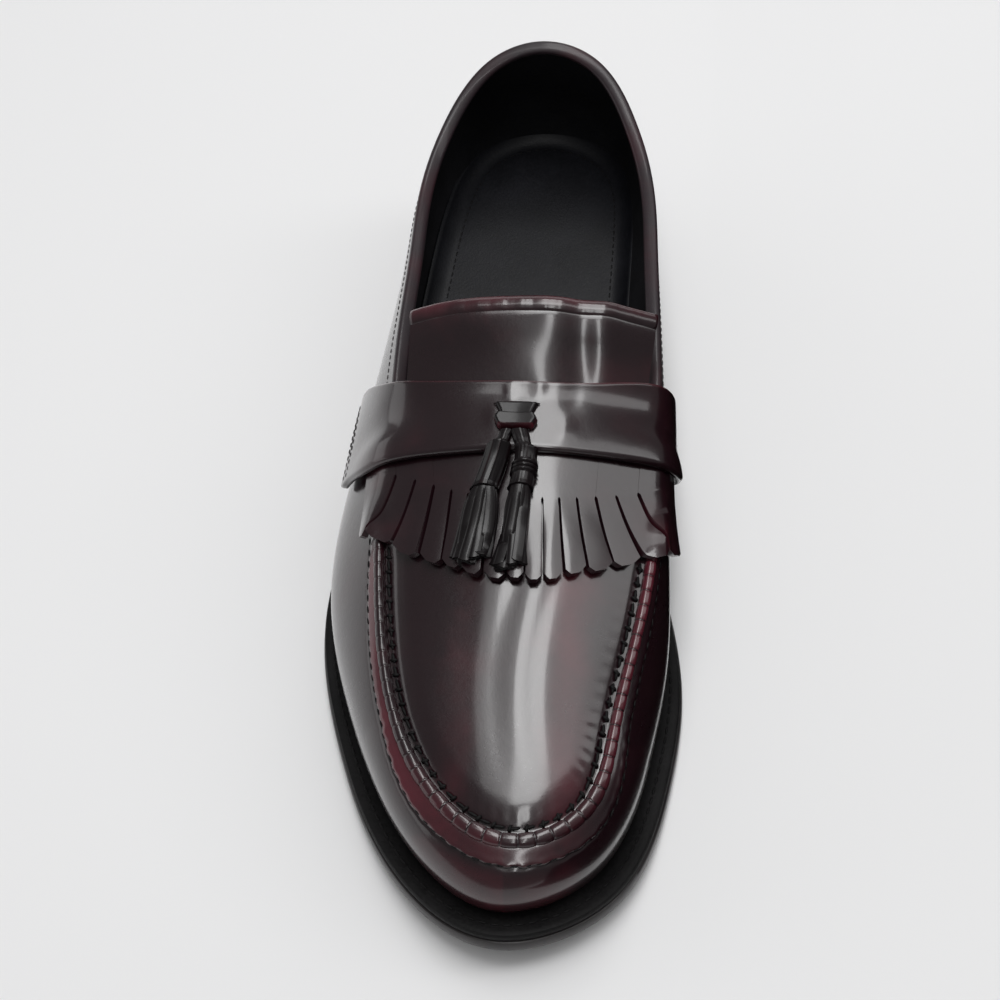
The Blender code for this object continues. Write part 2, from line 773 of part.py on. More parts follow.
class Drape:
    """Lays a band over parts: the furthest hit from an axis, bridged and eased.

    Angles are degrees from the top about a line through the shoe at HEIGHT,
    seen in planes of constant y.
    """
    HEIGHT = 0.030
    TURN = 1.5
    STEP = 0.0010
    ANGLES = np.arange(-96.0, 97.0, TURN)
    PLACES = np.arange(-0.070, 0.030, STEP)

    def __init__(self, objects, bridge=4, spare=1, rounds=4):
        self.trees = []
        for obj in objects:
            bm = bmesh.new()
            bm.from_mesh(obj.data)
            self.trees.append(BVHTree.FromBMesh(bm))
            bm.free()
        hit = np.array([[self._far(a, y) for y in self.PLACES]
                        for a in self.ANGLES])
        for _ in range(bridge):
            hit = self._edge(hit, np.max)
        for _ in range(bridge - spare):
            hit = self._edge(hit, np.min)
        self.field = hit
        for _ in range(rounds):
            self.field = np.maximum(self._average(self.field), hit)

    @staticmethod
    def axis(y):
        """The axis point level with y."""
        k = (HEEL_PIVOT[1] - y) / (HEEL_PIVOT[1] - TOE_PIVOT[1])
        return HEEL_PIVOT[0] + k * (TOE_PIVOT[0] - HEEL_PIVOT[0])

    def _far(self, angle, y):
        out = Vector((math.sin(math.radians(angle)), 0,
                      math.cos(math.radians(angle))))
        start = Vector((self.axis(y), y, self.HEIGHT)) + out * 0.2
        best = 0.0
        for tree in self.trees:
            _, _, _, distance = tree.ray_cast(start, -out)
            if distance is not None:
                best = max(best, 0.2 - distance)
        return best

    @staticmethod
    def _edge(field, pick):
        wide = np.pad(field, 1, mode="edge")
        return pick([wide[1 + i:1 + i + field.shape[0],
                          1 + j:1 + j + field.shape[1]]
                     for i in (-1, 0, 1) for j in (-1, 0, 1)], axis=0)

    @staticmethod
    def _average(field):
        wide = np.pad(field, 1, mode="edge")
        rows = (wide[:-2] + 2 * wide[1:-1] + wide[2:]) / 4
        return (rows[:, :-2] + 2 * rows[:, 1:-1] + rows[:, 2:]) / 4

    def point(self, angle, y, above):
        """The point this far above the draped surface."""
        i = np.clip((angle - self.ANGLES[0]) / self.TURN, 0, len(self.ANGLES) - 1.001)
        j = np.clip((y - self.PLACES[0]) / self.STEP, 0, len(self.PLACES) - 1.001)
        i0, j0 = int(i), int(j)
        fi, fj = i - i0, j - j0
        f = self.field
        r = ((1 - fi) * ((1 - fj) * f[i0, j0] + fj * f[i0, j0 + 1])
             + fi * ((1 - fj) * f[i0 + 1, j0] + fj * f[i0 + 1, j0 + 1])) + above
        a = math.radians(angle)
        return np.array([self.axis(y) + r * math.sin(a), y,
                         self.HEIGHT + r * math.cos(a)])


def build_band(shoe, name, drape, spots, rows, thick, finish):
    """A draped band; spots gives angle and y for each row and column."""
    sheet = Sheet()
    under = {}
    for row_pair in zip(rows, rows[1:]):
        indices = []
        for row in row_pair:
            line = []
            for angle, y, lift, trim in spots(row):
                point = drape.point(angle, y, GAP + lift + thick * trim)
                i = sheet.add(point)
                under[i] = drape.point(angle, y, GAP + lift)
                line.append(i)
            indices.append(line)
        sheet.span(*indices)
    points, faces = sheet.thicken([under[i] for i in range(len(sheet.points))])
    shoe.add(name, points, faces, finish)


def build_strap(shoe):
    """The saddle strap over the instep."""
    drape = Drape([shoe.objects[n] for n in ("upper", "topline_binding", "tongue",
                                             "kiltie_fringe")])
    angles = column_of(STRAP_EDGES, "angle")
    columns = np.linspace(angles[0], angles[-1], 33)

    def spots(v):
        trim = 0.7 if v in (0.0, 1.0) else 1.0
        for a in columns:
            front = eased(angles, column_of(STRAP_EDGES, "front"), a)
            rear = eased(angles, column_of(STRAP_EDGES, "rear"), a)
            yield a, float(front + (rear - front) * v), BAND_EASE, trim

    build_band(shoe, "saddle_strap", drape, spots,
               (0.0, 0.06, 0.22, 0.38, 0.54, 0.7, 0.85, 0.95, 1.0),
               STRAP_THICK, LEATHER)


def build_fringe(shoe):
    """The fringed flap: a band with its strips, cut apart by slits."""
    drape = Drape([shoe.objects["upper"]])
    across = column_of(FRINGE_EDGES, "across")
    rows = (0.0, 0.33, 0.66, 1.0, 1.25, 1.5, 1.75, 2.0)
    sheet, under = Sheet(), {}

    def spot(u, row, point_out):
        """A corner of the fringe; row 0 is the rear, 1 the slits, 2 the end."""
        slit = eased(across, column_of(FRINGE_EDGES, "slit"), u)
        end = eased(across, column_of(FRINGE_EDGES, "end"), u) - point_out
        y = (FRINGE_REAR + (slit - FRINGE_REAR) * row if row <= 1
             else slit + (end - slit) * (row - 1))
        k = (y - FRINGE_REAR) / (end - FRINGE_REAR)
        angle = u * (FRINGE_REAR_ANGLE + (FRINGE_END_ANGLE - FRINGE_REAR_ANGLE) * k)
        return float(angle), float(y)

    def corner(u, row, point_out, lift, crown):
        angle, y = spot(u, row, point_out)
        thick = FRINGE_THICK * (0.35 if row == 0 else 1.0)
        i = sheet.add(drape.point(angle, y, GAP + lift + crown + thick))
        under[i] = drape.point(angle, y, GAP + lift)
        return i

    bounds = np.linspace(-1, 1, FRINGE_STRIPS + 1)
    gap = SLIT_WIDTH / 0.055
    previous = None
    for k, (a, b) in enumerate(zip(bounds, bounds[1:])):
        first, last = k == 0, k == FRINGE_STRIPS - 1
        lines = []
        for row in rows:
            free = max(row - 1, 0.0)
            lift = BAND_EASE + (0.0006 + 0.0004 * (k % 3)) * free**1.5
            gathered = FRINGE_GATHER + (1 - FRINGE_GATHER) * free
            left = a if first else a * gathered + gap / 2
            right = b if last else b * gathered - gap / 2
            line = []
            for share in (0.0, 0.2, 0.4, 0.6, 0.8, 1.0) if first or last else (0.0, 0.5, 1.0):
                middle = 1 - abs(2 * share - 1)
                line.append(corner(left + (right - left) * share, row,
                                   0.0016 * middle * (row == 2.0), lift,
                                   0.0002 * middle))
            lines.append(line)
        for low, high in zip(lines, lines[1:]):
            sheet.span(high, low)
        near = [line[0] for line, row in zip(lines, rows) if row <= 1]
        if previous:
            sheet.span(previous, near)
        previous = [line[-1] for line, row in zip(lines, rows) if row <= 1]
    points, faces = sheet.thicken([under[i] for i in range(len(sheet.points))])
    shoe.add("kiltie_fringe", points, faces, LEATHER)


def build_tab(shoe):
    """The folded tab that holds the tassels on the strap."""
    drape = Drape([shoe.objects["saddle_strap"]])
    u = np.linspace(-1, 1, 7)

    def spots(v):
        trim = 0.6 if v in (0.0, 1.0) else 1.0
        y = -0.0190 + 0.0100 * v
        half = math.degrees((0.0042 + 0.0020 * v) / 0.045)
        for k in u:
            yield half * k, y, 0.0, trim * (1 - 0.25 * k * k)

    build_band(shoe, "tassel_tab", drape, spots, (0.0, 0.12, 0.5, 0.88, 1.0),
               0.0030, LEATHER)


class Rest:
    """Finds how low a round body can lie on the parts beneath it."""

    def __init__(self, objects):
        self.trees = []
        for obj in objects:
            bm = bmesh.new()
            bm.from_mesh(obj.data)
            self.trees.append(BVHTree.FromBMesh(bm))
            bm.free()

    def top(self, x, y):
        """Height of the highest part at a place."""
        best = 0.0
        for tree in self.trees:
            hit, _, _, _ = tree.ray_cast(Vector((x, y, 0.2)), Vector((0, 0, -1)))
            if hit is not None:
                best = max(best, hit.z)
        return best

    def axis_height(self, x, y, half_wide, half_high):
        """Lowest middle height of an ellipse clear of everything beneath."""
        best = 0.0
        for dx in np.linspace(-0.98, 0.98, 9):
            for dy in (-0.0015, 0.0, 0.0015):
                under = half_high * math.sqrt(1 - dx * dx)
                best = max(best, self.top(x + dx * half_wide, y + dy) + under)
        return best + GAP


def build_tassel(shoe, name, table, rest):
    """A tassel: a round head with leather strips fused into it."""
    ys = column_of(table, "y")
    walk = np.linspace(0, 1, 16)
    y = ys[0] + (ys[-1] - ys[0]) * walk
    x, wide, high = (eased(-ys, column_of(table, f), -y)
                     for f in ("x", "half_wide", "half_high"))
    z = np.array([rest.axis_height(*row) for row in zip(x, y, wide, high)])
    for _ in range(3):
        soft = np.convolve(np.pad(z, 1, mode="edge"), (0.25, 0.5, 0.25), "valid")
        z = np.maximum(soft, z)
    path = np.c_[x, y, z]
    head = y > column_of(table, "y")[3] - 0.0005
    rings = []
    for p, w, h in zip(path[head], wide[head], high[head]):
        rings.append([p + np.array([w * math.cos(a), 0, h * math.sin(a)])
                      for a in np.linspace(0, 2 * math.pi, 14, endpoint=False)])
    body = shoe.add(name, *loft(rings, closed_ends=True), LEATHER)

    tail = np.linspace(np.where(head)[0][-1] - 2, len(y) - 1, 6)
    index = np.arange(len(y))
    for k in range(TASSEL_STRIPS):
        share = (k + 0.5) / TASSEL_STRIPS * 2 - 1
        low = k % 2
        strip = []
        for j, at in enumerate(tail):
            p = np.array([np.interp(at, index, path[:, c]) for c in range(3)])
            w, h = np.interp(at, index, wide), np.interp(at, index, high)
            reach_out = 1.0 if j else 0.6
            mid = p + np.array([share * 0.86 * w * reach_out, 0,
                                h * (0.42 if low else 0.12) * (1 - 0.5 * share**2)])
            half = 0.86 * w / TASSEL_STRIPS * (1.25 if j else 0.9)
            thick = 0.0008
            strip.append([mid + np.array([sx * half, 0, sz * thick])
                          for sx, sz in ((-1, -1), (1, -1), (1, 1), (-1, 1))])
        end = np.array(strip[-1])
        end[:, 1] -= 0.0010 * (k % 3)
        strip[-1] = list(end)
        points, faces = loft(strip, closed_ends=True)
        part = shoe.add(name + "_strip", points, faces, LEATHER)
        fuse(shoe, body, part)


def fuse(shoe, body, part):
    """Join a second body to the first and remove the second."""
    modifier = body.modifiers.new("fuse", "BOOLEAN")
    modifier.operation = "UNION"
    modifier.solver = "EXACT"
    modifier.object = part
    result = bpy.data.meshes.new_from_object(
        body.evaluated_get(bpy.context.evaluated_depsgraph_get()))
    body.modifiers.clear()
    materials = body.data.materials[0]
    body.data = result
    body.data.name = body.name
    body.data.materials.clear()
    body.data.materials.append(materials)
    shoe.objects.pop(part.name, None)
    bpy.data.objects.remove(part)


def main():
    """Build every part of the shoe."""
    for obj in list(bpy.data.objects):
        bpy.data.objects.remove(obj)
    shoe = Shoe("tassel_loafer")
    build_bottom(shoe)
    build_upper(shoe)
    build_tongue(shoe)
    build_fringe(shoe)
    build_strap(shoe)
    build_tab(shoe)
    rest = Rest([shoe.objects[n] for n in ("kiltie_fringe", "saddle_strap", "upper",
                                           "tassel_tab")])
    build_tassel(shoe, "tassel_outer", TASSEL_OUTER, rest)
    build_tassel(shoe, "tassel_inner", TASSEL_INNER, rest)
    shoe.centre()


main()
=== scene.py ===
"""Tassel loafer in rubbed burgundy leather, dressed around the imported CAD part.

Frame: +Z up, +Y from the toe to the heel, +X towards the other foot, metres.
A column is one place around the shoe: a side and a station. Stations run from
0 at the heel's back over 1 and 2, the ends of the straight axis, to 3 at the toe.
"""
import json
import logging
import math
from dataclasses import dataclass, field
from enum import Enum
from typing import Callable, Iterable, NamedTuple, Optional, Sequence, Union

import bmesh
import bpy
import numpy as np
from mathutils import Matrix, Vector
from mathutils.bvhtree import BVHTree

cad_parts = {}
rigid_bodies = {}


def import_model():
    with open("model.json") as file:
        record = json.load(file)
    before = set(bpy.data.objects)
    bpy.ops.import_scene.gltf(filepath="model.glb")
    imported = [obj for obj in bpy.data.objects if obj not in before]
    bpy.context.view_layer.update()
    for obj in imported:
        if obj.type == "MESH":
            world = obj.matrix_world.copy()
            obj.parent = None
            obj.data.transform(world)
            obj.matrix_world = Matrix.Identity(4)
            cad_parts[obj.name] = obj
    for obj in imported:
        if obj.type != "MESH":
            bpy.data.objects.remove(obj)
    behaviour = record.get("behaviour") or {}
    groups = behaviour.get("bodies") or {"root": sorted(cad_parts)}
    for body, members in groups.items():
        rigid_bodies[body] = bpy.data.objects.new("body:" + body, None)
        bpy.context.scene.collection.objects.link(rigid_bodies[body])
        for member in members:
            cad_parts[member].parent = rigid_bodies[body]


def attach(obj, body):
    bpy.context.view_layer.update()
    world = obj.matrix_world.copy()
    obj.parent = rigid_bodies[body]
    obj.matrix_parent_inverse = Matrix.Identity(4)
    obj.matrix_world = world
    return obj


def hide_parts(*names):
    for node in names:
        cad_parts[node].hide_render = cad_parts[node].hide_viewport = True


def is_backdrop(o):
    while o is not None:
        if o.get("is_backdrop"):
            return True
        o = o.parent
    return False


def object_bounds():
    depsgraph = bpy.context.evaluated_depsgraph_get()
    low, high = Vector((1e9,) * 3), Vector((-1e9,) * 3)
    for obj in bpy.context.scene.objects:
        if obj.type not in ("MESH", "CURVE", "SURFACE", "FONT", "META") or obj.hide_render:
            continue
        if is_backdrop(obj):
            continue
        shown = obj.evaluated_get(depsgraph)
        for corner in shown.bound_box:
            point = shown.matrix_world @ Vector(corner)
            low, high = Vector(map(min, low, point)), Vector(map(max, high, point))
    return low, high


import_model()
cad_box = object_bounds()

LOG = logging.getLogger("loafer")

Array = np.ndarray
Values = Union[float, np.ndarray]
Material = bpy.types.Material
Colour = tuple[float, float, float]
OUTSIDE, INSIDE = -1, 1


# Shader tools

def add_node(tree: bpy.types.NodeTree, kind: str, settings: Optional[dict] = None,
             inputs: Optional[dict] = None) -> bpy.types.Node:
    """Add a node to a tree.

    Args:
        tree: the tree.
        kind: the node's type.
        settings: properties of the node, set before its inputs.
        inputs: socket name or index to a value, a socket or a Wire.

    Returns:
        The new node.
    """
    made = tree.nodes.new(kind)
    for key, value in (settings or {}).items():
        setattr(made, key, value)
    for key, value in (inputs or {}).items():
        value = value.socket if isinstance(value, Wire) else value
        if isinstance(value, bpy.types.NodeSocket):
            tree.links.new(value, made.inputs[key])
        else:
            made.inputs[key].default_value = value
    return made


class Wire:
    """A shader socket whose arithmetic adds Math nodes."""

    def __init__(self, wiring: "Wiring", socket: bpy.types.NodeSocket) -> None:
        """Hold the socket and the tree it is in."""
        self.wiring = wiring
        self.socket = socket

    def __add__(self, other: "Term") -> "Wire":
        """Sum of the two."""
        return self.wiring.maths("ADD", self, other)

    def __mul__(self, other: "Term") -> "Wire":
        """Product of the two."""
        return self.wiring.maths("MULTIPLY", self, other)

    def __sub__(self, other: "Term") -> "Wire":
        """This less the other."""
        return self.wiring.maths("SUBTRACT", self, other)

    __radd__ = __add__


Term = Union[float, Wire]


class Wiring:
    """Builds one material's nodes."""

    def __init__(self, name: str) -> None:
        """Make an empty node material with an output.

        Args:
            name: the material's name.
        """
        self.material = bpy.data.materials.new(name)
        self.material.use_nodes = True
        self.tree = self.material.node_tree
        self.tree.nodes.clear()
        self.output = self.tree.nodes.new("ShaderNodeOutputMaterial")

    def node(self, kind: str, settings: Optional[dict] = None,
             inputs: Optional[dict] = None) -> bpy.types.Node:
        """Add a shader node; kind lacks its ShaderNode prefix."""
        return add_node(self.tree, "ShaderNode" + kind, settings, inputs)

    def out(self, made: bpy.types.Node, name: Union[int, str] = 0) -> Wire:
        """The named output of a node."""
        return Wire(self, made.outputs[name])

    def maths(self, operation: str, *terms: Term) -> Wire:
        """One Math node on one to three terms."""
        return self.out(self.node("Math", {"operation": operation},
                                  dict(enumerate(terms))))

    def place(self) -> Wire:
        """Object coordinates."""
        return self.out(self.node("TexCoord"), "Object")

    def attribute(self, name: str) -> Wire:
        """A number stored on the mesh."""
        return self.out(self.node("Attribute", {"attribute_name": name}), "Fac")

    def noise(self, scale: float, detail: float = 2.0, rough: float = 0.5,
              warp: float = 0.0) -> Wire:
        """Fractal noise from 0 to 1 in object space."""
        return self.out(self.node("TexNoise", None, {
            "Vector": self.place(), "Scale": scale, "Detail": detail,
            "Roughness": rough, "Distortion": warp}))

    def cells(self, scale: float) -> Wire:
        """Distance to the nearest cell centre in object space."""
        return self.out(self.node("TexVoronoi", None, {
            "Vector": self.place(), "Scale": scale}))

    def between(self, value: Term, low: float, high: float) -> Wire:
        """Smooth step of the value from low to high."""
        return self.out(self.node("MapRange", {"interpolation_type": "SMOOTHSTEP"}, {
            "Value": value, "From Min": low, "From Max": high}))

    def blend(self, factor: Term, low: Union[Colour, Wire],
              high: Union[Colour, Wire]) -> Wire:
        """Mix of two colours."""
        four = [c if isinstance(c, Wire) else (*c, 1.0) for c in (low, high)]
        return self.out(self.node("Mix", {"data_type": "RGBA"}, {
            0: factor, 6: four[0], 7: four[1]}), 2)

    def bump(self, height: Wire, depth: float, strength: float = 1.0,
             over: Optional[Wire] = None) -> Wire:
        """Bumped normal.

        Args:
            height: relief from 0 to 1.
            depth: its real depth in metres.
            strength: the node's strength.
            over: a normal to add it to.

        Returns:
            The normal.
        """
        inputs = {"Height": height, "Distance": depth, "Strength": strength}
        if over is not None:
            inputs["Normal"] = over
        return self.out(self.node("Bump", None, inputs))

    def finish(self, **sockets: Union[float, Colour, Wire]) -> Material:
        """Feed a Principled shader.

        Args:
            sockets: Principled inputs, with _ for a space.

        Returns:
            The material.
        """
        inputs = {}
        for key, value in sockets.items():
            name = key.replace("_", " ")
            inputs[name] = (*value, 1.0) if isinstance(value, tuple) else value
        shader = self.node("BsdfPrincipled", None, inputs)
        self.tree.links.new(shader.outputs[0], self.output.inputs[0])
        return self.material


@dataclass(frozen=True)
class GlossLeather:
    """Brushed-off leather: nearly black over burgundy, under a high gloss."""
    name: str
    dark: Colour = (0.0110, 0.0034, 0.0053)
    rubbed: Colour = (0.085, 0.011, 0.019)
    always: float = 0.12
    roughness: float = 0.30
    coat: float = 0.85
    coat_roughness: float = 0.12
    specular: float = 0.35
    grain: float = 1.0

    def make(self) -> Material:
        """Build the material; the mesh's rub attribute bares the burgundy, as wear in most
        places and as painted light on some pieces.

        Returns:
            The material.
        """
        w = Wiring(self.name)
        cloud = w.noise(38.0, 3.0, 0.55, 0.4)
        streak = w.noise(140.0, 2.0, 0.6)
        # How much burgundy shows: wear, and painted light where the mesh marks it so.
        rub = w.attribute("rub")
        share = (w.between(rub + (cloud - 0.5) * 0.5 + (streak - 0.5) * 0.25, 0.20, 1.0)
                 + w.between(cloud, 0.45, 0.85) * self.always)
        colour = w.blend(w.maths("MINIMUM", share, 1.0), self.dark, self.rubbed)
        pores = w.cells(1500.0)
        grain = w.noise(900.0, 3.0, 0.6)
        skin = w.noise(2600.0, 1.0, 0.5)
        fine = w.bump(grain * 0.6 + pores * 0.35 + skin * 0.25, 0.000045,
                      0.70 * self.grain)
        dents = w.bump(w.noise(160.0, 2.0, 0.5), 0.00022, 0.30 * self.grain, fine)
        rough = self.roughness + (cloud - 0.5) * 0.10 + (grain - 0.5) * 0.10
        return w.finish(Base_Color=colour, Roughness=rough, Normal=dents,
                        Coat_Weight=self.coat, Coat_Roughness=self.coat_roughness,
                        Coat_IOR=1.5, IOR=1.5, Specular_IOR_Level=self.specular)


@dataclass(frozen=True)
class MattLeather:
    """Plain leather with a soft sheen and a visible grain."""
    name: str
    colour: Colour
    lighter: Colour
    roughness: float = 0.55
    grain_scale: float = 900.0
    depth: float = 0.00008
    coat: float = 0.0
    specular: float = 0.25

    def make(self) -> Material:
        """Build the material.

        Returns:
            The material.
        """
        w = Wiring(self.name)
        cloud = w.noise(60.0, 3.0, 0.6)
        grain = w.noise(self.grain_scale, 3.0, 0.65)
        cells = w.cells(self.grain_scale * 1.3)
        colour = w.blend(w.between(cloud * 0.6 + grain * 0.4, 0.3, 0.75),
                         self.colour, self.lighter)
        rough = self.roughness + (grain - 0.5) * 0.25
        normal = w.bump(grain * 0.6 + cells * 0.5, self.depth, 0.7)
        return w.finish(Base_Color=colour, Roughness=rough, Normal=normal,
                        Coat_Weight=self.coat, Coat_Roughness=0.3,
                        Specular_IOR_Level=self.specular)


@dataclass(frozen=True)
class InkedEdge:
    """Burnished edge of sole leather or heel lifts, with its layers."""
    name: str
    colour: Colour = (0.014, 0.012, 0.0125)
    lighter: Colour = (0.030, 0.026, 0.027)
    joint: Colour = (0.008, 0.007, 0.007)
    layer: float = 0.0
    roughness: float = 0.34

    def make(self) -> Material:
        """Build the material; layer is the height of one lift, 0 for none.

        Returns:
            The material.
        """
        w = Wiring(self.name)
        fibre = w.noise(420.0, 3.0, 0.6)
        cloud = w.noise(45.0, 2.0, 0.5)
        colour = w.blend(w.between(cloud, 0.3, 0.7), self.colour, self.lighter)
        height = fibre * 0.3
        if self.layer:
            z = w.out(w.node("SeparateXYZ", None, {0: w.place()}), 2)
            place = w.maths("PINGPONG", z, self.layer / 2)
            height = height + w.between(place, 0.0, 0.00022)
            colour = w.blend(w.between(place, 0.0, 0.00030), self.joint, colour)
        normal = w.bump(height, 0.00010, 0.6)
        return w.finish(Base_Color=colour, Roughness=self.roughness + (fibre - 0.5) * 0.2,
                        Normal=normal, Coat_Weight=0.10, Coat_Roughness=0.3,
                        Specular_IOR_Level=0.3)


@dataclass(frozen=True)
class WaxedThread:
    """Twisted thread."""
    name: str
    colour: Colour = (0.012, 0.010, 0.011)
    roughness: float = 0.42

    def make(self) -> Material:
        """Build the material.

        Returns:
            The material.
        """
        w = Wiring(self.name)
        twist = w.noise(2400.0, 1.0, 0.5)
        colour = w.blend(twist, self.colour, tuple(3.2 * c for c in self.colour))
        return w.finish(Base_Color=colour, Roughness=self.roughness + (twist - 0.5) * 0.2,
                        Normal=w.bump(twist, 0.00012, 0.8))


@dataclass(frozen=True)
class Sweep:
    """The studio's pale floor."""
    name: str = "pale_floor"
    colour: Colour = (0.85, 0.85, 0.855)

    def make(self) -> Material:
        """Build the material.

        Returns:
            The material.
        """
        w = Wiring(self.name)
        cloud = w.noise(1.4, 2.0, 0.5)
        colour = w.blend(cloud, self.colour, tuple(0.985 * c for c in self.colour))
        return w.finish(Base_Color=colour, Roughness=0.65, Specular_IOR_Level=0.25)


class Slot(Enum):
    """The record's material slots."""
    LEATHER = "burgundy_leather"
    EDGE = "dark_edge_leather"
    WELT = "black_welt_leather"
    LINING = "black_lining_leather"
    RUBBER = "black_rubber"


class Finishes:
    """Every material of the shoe, each made once."""

    def __init__(self) -> None:
        """Make them."""
        self.upper = GlossLeather("burgundy_upper_leather").make()
        self.saddle = GlossLeather("burgundy_saddle_leather", always=0.22).make()
        self.tassel = GlossLeather("black_tassel_leather", dark=(0.0045, 0.0030, 0.0036),
                                   always=0.10, roughness=0.40, coat=0.28,
                                   coat_roughness=0.14, specular=0.16).make()
        self.bead = GlossLeather("burgundy_bead_leather", always=0.30,
                                 roughness=0.34, coat=0.70).make()
        self.binding = GlossLeather("burgundy_binding_leather", always=0.10,
                                    dark=(0.020, 0.014, 0.017),
                                    roughness=0.46, coat=0.18, grain=1.6).make()
        # Dark cut-edge leather, also used as the painted shade inside the strap's slot.
        self.cut = MattLeather("cut_leather_edge", (0.010, 0.008, 0.009),
                               (0.030, 0.018, 0.020), 0.6).make()
        self.lining = MattLeather("black_lining", (0.0045, 0.0045, 0.0055),
                                  (0.011, 0.011, 0.013), 0.62).make()
        self.sock = MattLeather("black_sock_leather", (0.0032, 0.0034, 0.0048),
                                (0.0085, 0.0088, 0.0115), 0.48, 1100.0,
                                specular=0.20).make()
        self.welt = MattLeather("black_welt", (0.0030, 0.0028, 0.0030),
                                (0.0100, 0.0094, 0.0098), 0.58, 700.0, 0.00018,
                                specular=0.14).make()
        self.edge = InkedEdge("sole_edge_ink").make()
        self.lifts = InkedEdge("heel_lift_ink", layer=0.0052).make()
        self.rubber = MattLeather("black_top_piece_rubber", (0.010, 0.010, 0.010),
                                  (0.022, 0.022, 0.022), 0.7, 1400.0).make()
        self.thread = WaxedThread("black_thread").make()


# The last

class EdgePoint(NamedTuple):
    """A point of the sole's edge.

    across: in half ball widths; along: from heel 0 to toe 1.
    """
    place: str
    across: float
    along: float


SOLE_EDGE = (
    EdgePoint("heel back", 0.055, 0.000),
    EdgePoint("heel corner, outside", -0.405, 0.033),
    EdgePoint("heel side, outside", -0.610, 0.129),
    EdgePoint("waist, outside", -0.710, 0.295),
    EdgePoint("behind the joints, outside", -0.932, 0.482),
    EdgePoint("joints, outside", -1.050, 0.641),
    EdgePoint("toes, outside", -0.840, 0.798),
    EdgePoint("toe corner, outside", -0.478, 0.927),
    EdgePoint("toe tip", 0.088, 1.000),
    EdgePoint("toe corner, inside", 0.650, 0.958),
    EdgePoint("toes, inside", 0.957, 0.819),
    EdgePoint("joints, inside", 1.007, 0.706),
    EdgePoint("behind the joints, inside", 0.859, 0.561),
    EdgePoint("waist, inside", 0.680, 0.374),
    EdgePoint("heel side, inside", 0.665, 0.169),
    EdgePoint("heel corner, inside", 0.515, 0.043),
)


class RimPoint(NamedTuple):
    """A point of the wall's upper edge: topline behind, apron seam in front.

    across and along as in EdgePoint; height: in back heights.
    """
    place: str
    across: float
    along: float
    height: float


RIM = (
    RimPoint("topline, back", 0.037, 0.0355, 1.007),
    RimPoint("topline, corner outside", -0.300, 0.055, 0.952),
    RimPoint("topline, heel outside", -0.550, 0.116, 0.813),
    RimPoint("topline, ankle outside", -0.640, 0.293, 0.765),
    RimPoint("topline, front outside", -0.640, 0.414, 0.771),
    RimPoint("throat outside", -0.625, 0.541, 0.723),
    RimPoint("instep outside", -0.632, 0.612, 0.657),
    RimPoint("joints outside", -0.588, 0.718, 0.566),
    RimPoint("apron side, outside", -0.447, 0.825, 0.500),
    RimPoint("apron corner, outside", -0.250, 0.888, 0.464),
    RimPoint("apron tip", 0.195, 0.936, 0.448),
    RimPoint("apron corner, inside", 0.538, 0.905, 0.458),
    RimPoint("apron side, inside", 0.668, 0.825, 0.506),
    RimPoint("joints inside", 0.778, 0.718, 0.584),
    RimPoint("instep inside", 0.837, 0.612, 0.675),
    RimPoint("throat inside", 0.837, 0.541, 0.747),
    RimPoint("topline, front inside", 0.809, 0.414, 0.819),
    RimPoint("topline, ankle inside", 0.769, 0.293, 0.813),
    RimPoint("topline, heel inside", 0.612, 0.116, 0.849),
    RimPoint("topline, corner inside", 0.385, 0.057, 0.964),
)


class WallShape(NamedTuple):
    """The wall's swell on its way up: the pulls of its curve's two handles.

    Pulls are in metres away from the axis, outside and inside of the foot;
    up and down are shares of the wall's height.
    """
    place: str
    station: float
    low_outside: float
    low_inside: float
    low_up: float
    high_outside: float
    high_inside: float
    high_down: float


WALLS = (
    WallShape("heel back", 0.00, 0.0045, 0.0045, 0.36, 0.0080, 0.0080, 0.40),
    WallShape("heel corner", 0.50, 0.0055, 0.0050, 0.38, 0.0090, 0.0090, 0.40),
    WallShape("heel side", 1.00, 0.0062, 0.0045, 0.38, 0.0065, 0.0035, 0.40),
    WallShape("ankle", 1.25, 0.0085, 0.0060, 0.38, 0.0072, 0.0040, 0.38),
    WallShape("collar front", 1.42, 0.0090, 0.0085, 0.38, 0.0095, 0.0050, 0.38),
    WallShape("throat", 1.60, 0.0085, 0.0060, 0.38, 0.0115, 0.0065, 0.38),
    WallShape("behind joints", 1.72, 0.0075, 0.0045, 0.38, 0.0125, 0.0080, 0.36),
    WallShape("joints", 1.85, 0.0060, 0.0040, 0.40, 0.0130, 0.0095, 0.30),
    WallShape("toe side", 2.00, 0.0048, 0.0045, 0.42, 0.0120, 0.0090, 0.22),
    WallShape("toe corner", 2.50, 0.0045, 0.0045, 0.45, 0.0105, 0.0085, 0.16),
    WallShape("toe tip", 3.00, 0.0045, 0.0045, 0.45, 0.0100, 0.0100, 0.16),
)


class RisePoint(NamedTuple):
    """Height of the outsole's underside over the floor, by place along."""
    along: float
    of_heel: float
    of_spring: float


RISE = (
    RisePoint(0.000, 1.000, 0.00),
    RisePoint(0.136, 0.960, 0.00),
    RisePoint(0.248, 0.840, 0.00),
    RisePoint(0.384, 0.420, 0.00),
    RisePoint(0.533, 0.053, 0.00),
    RisePoint(0.632, 0.000, 0.00),
    RisePoint(0.758, 0.000, 0.00),
    RisePoint(0.815, 0.000, 0.06),
    RisePoint(0.914, 0.000, 0.42),
    RisePoint(1.000, 0.000, 1.00),
)


class MarginPoint(NamedTuple):
    """Width of the welt outside the upper's foot, by place along."""
    along: float
    width: float


MARGIN = (
    MarginPoint(0.000, 0.0030),
    MarginPoint(0.200, 0.0030),
    MarginPoint(0.370, 0.0035),
    MarginPoint(0.500, 0.0046),
    MarginPoint(0.700, 0.0068),
    MarginPoint(0.864, 0.0078),
    MarginPoint(1.000, 0.0083),
)


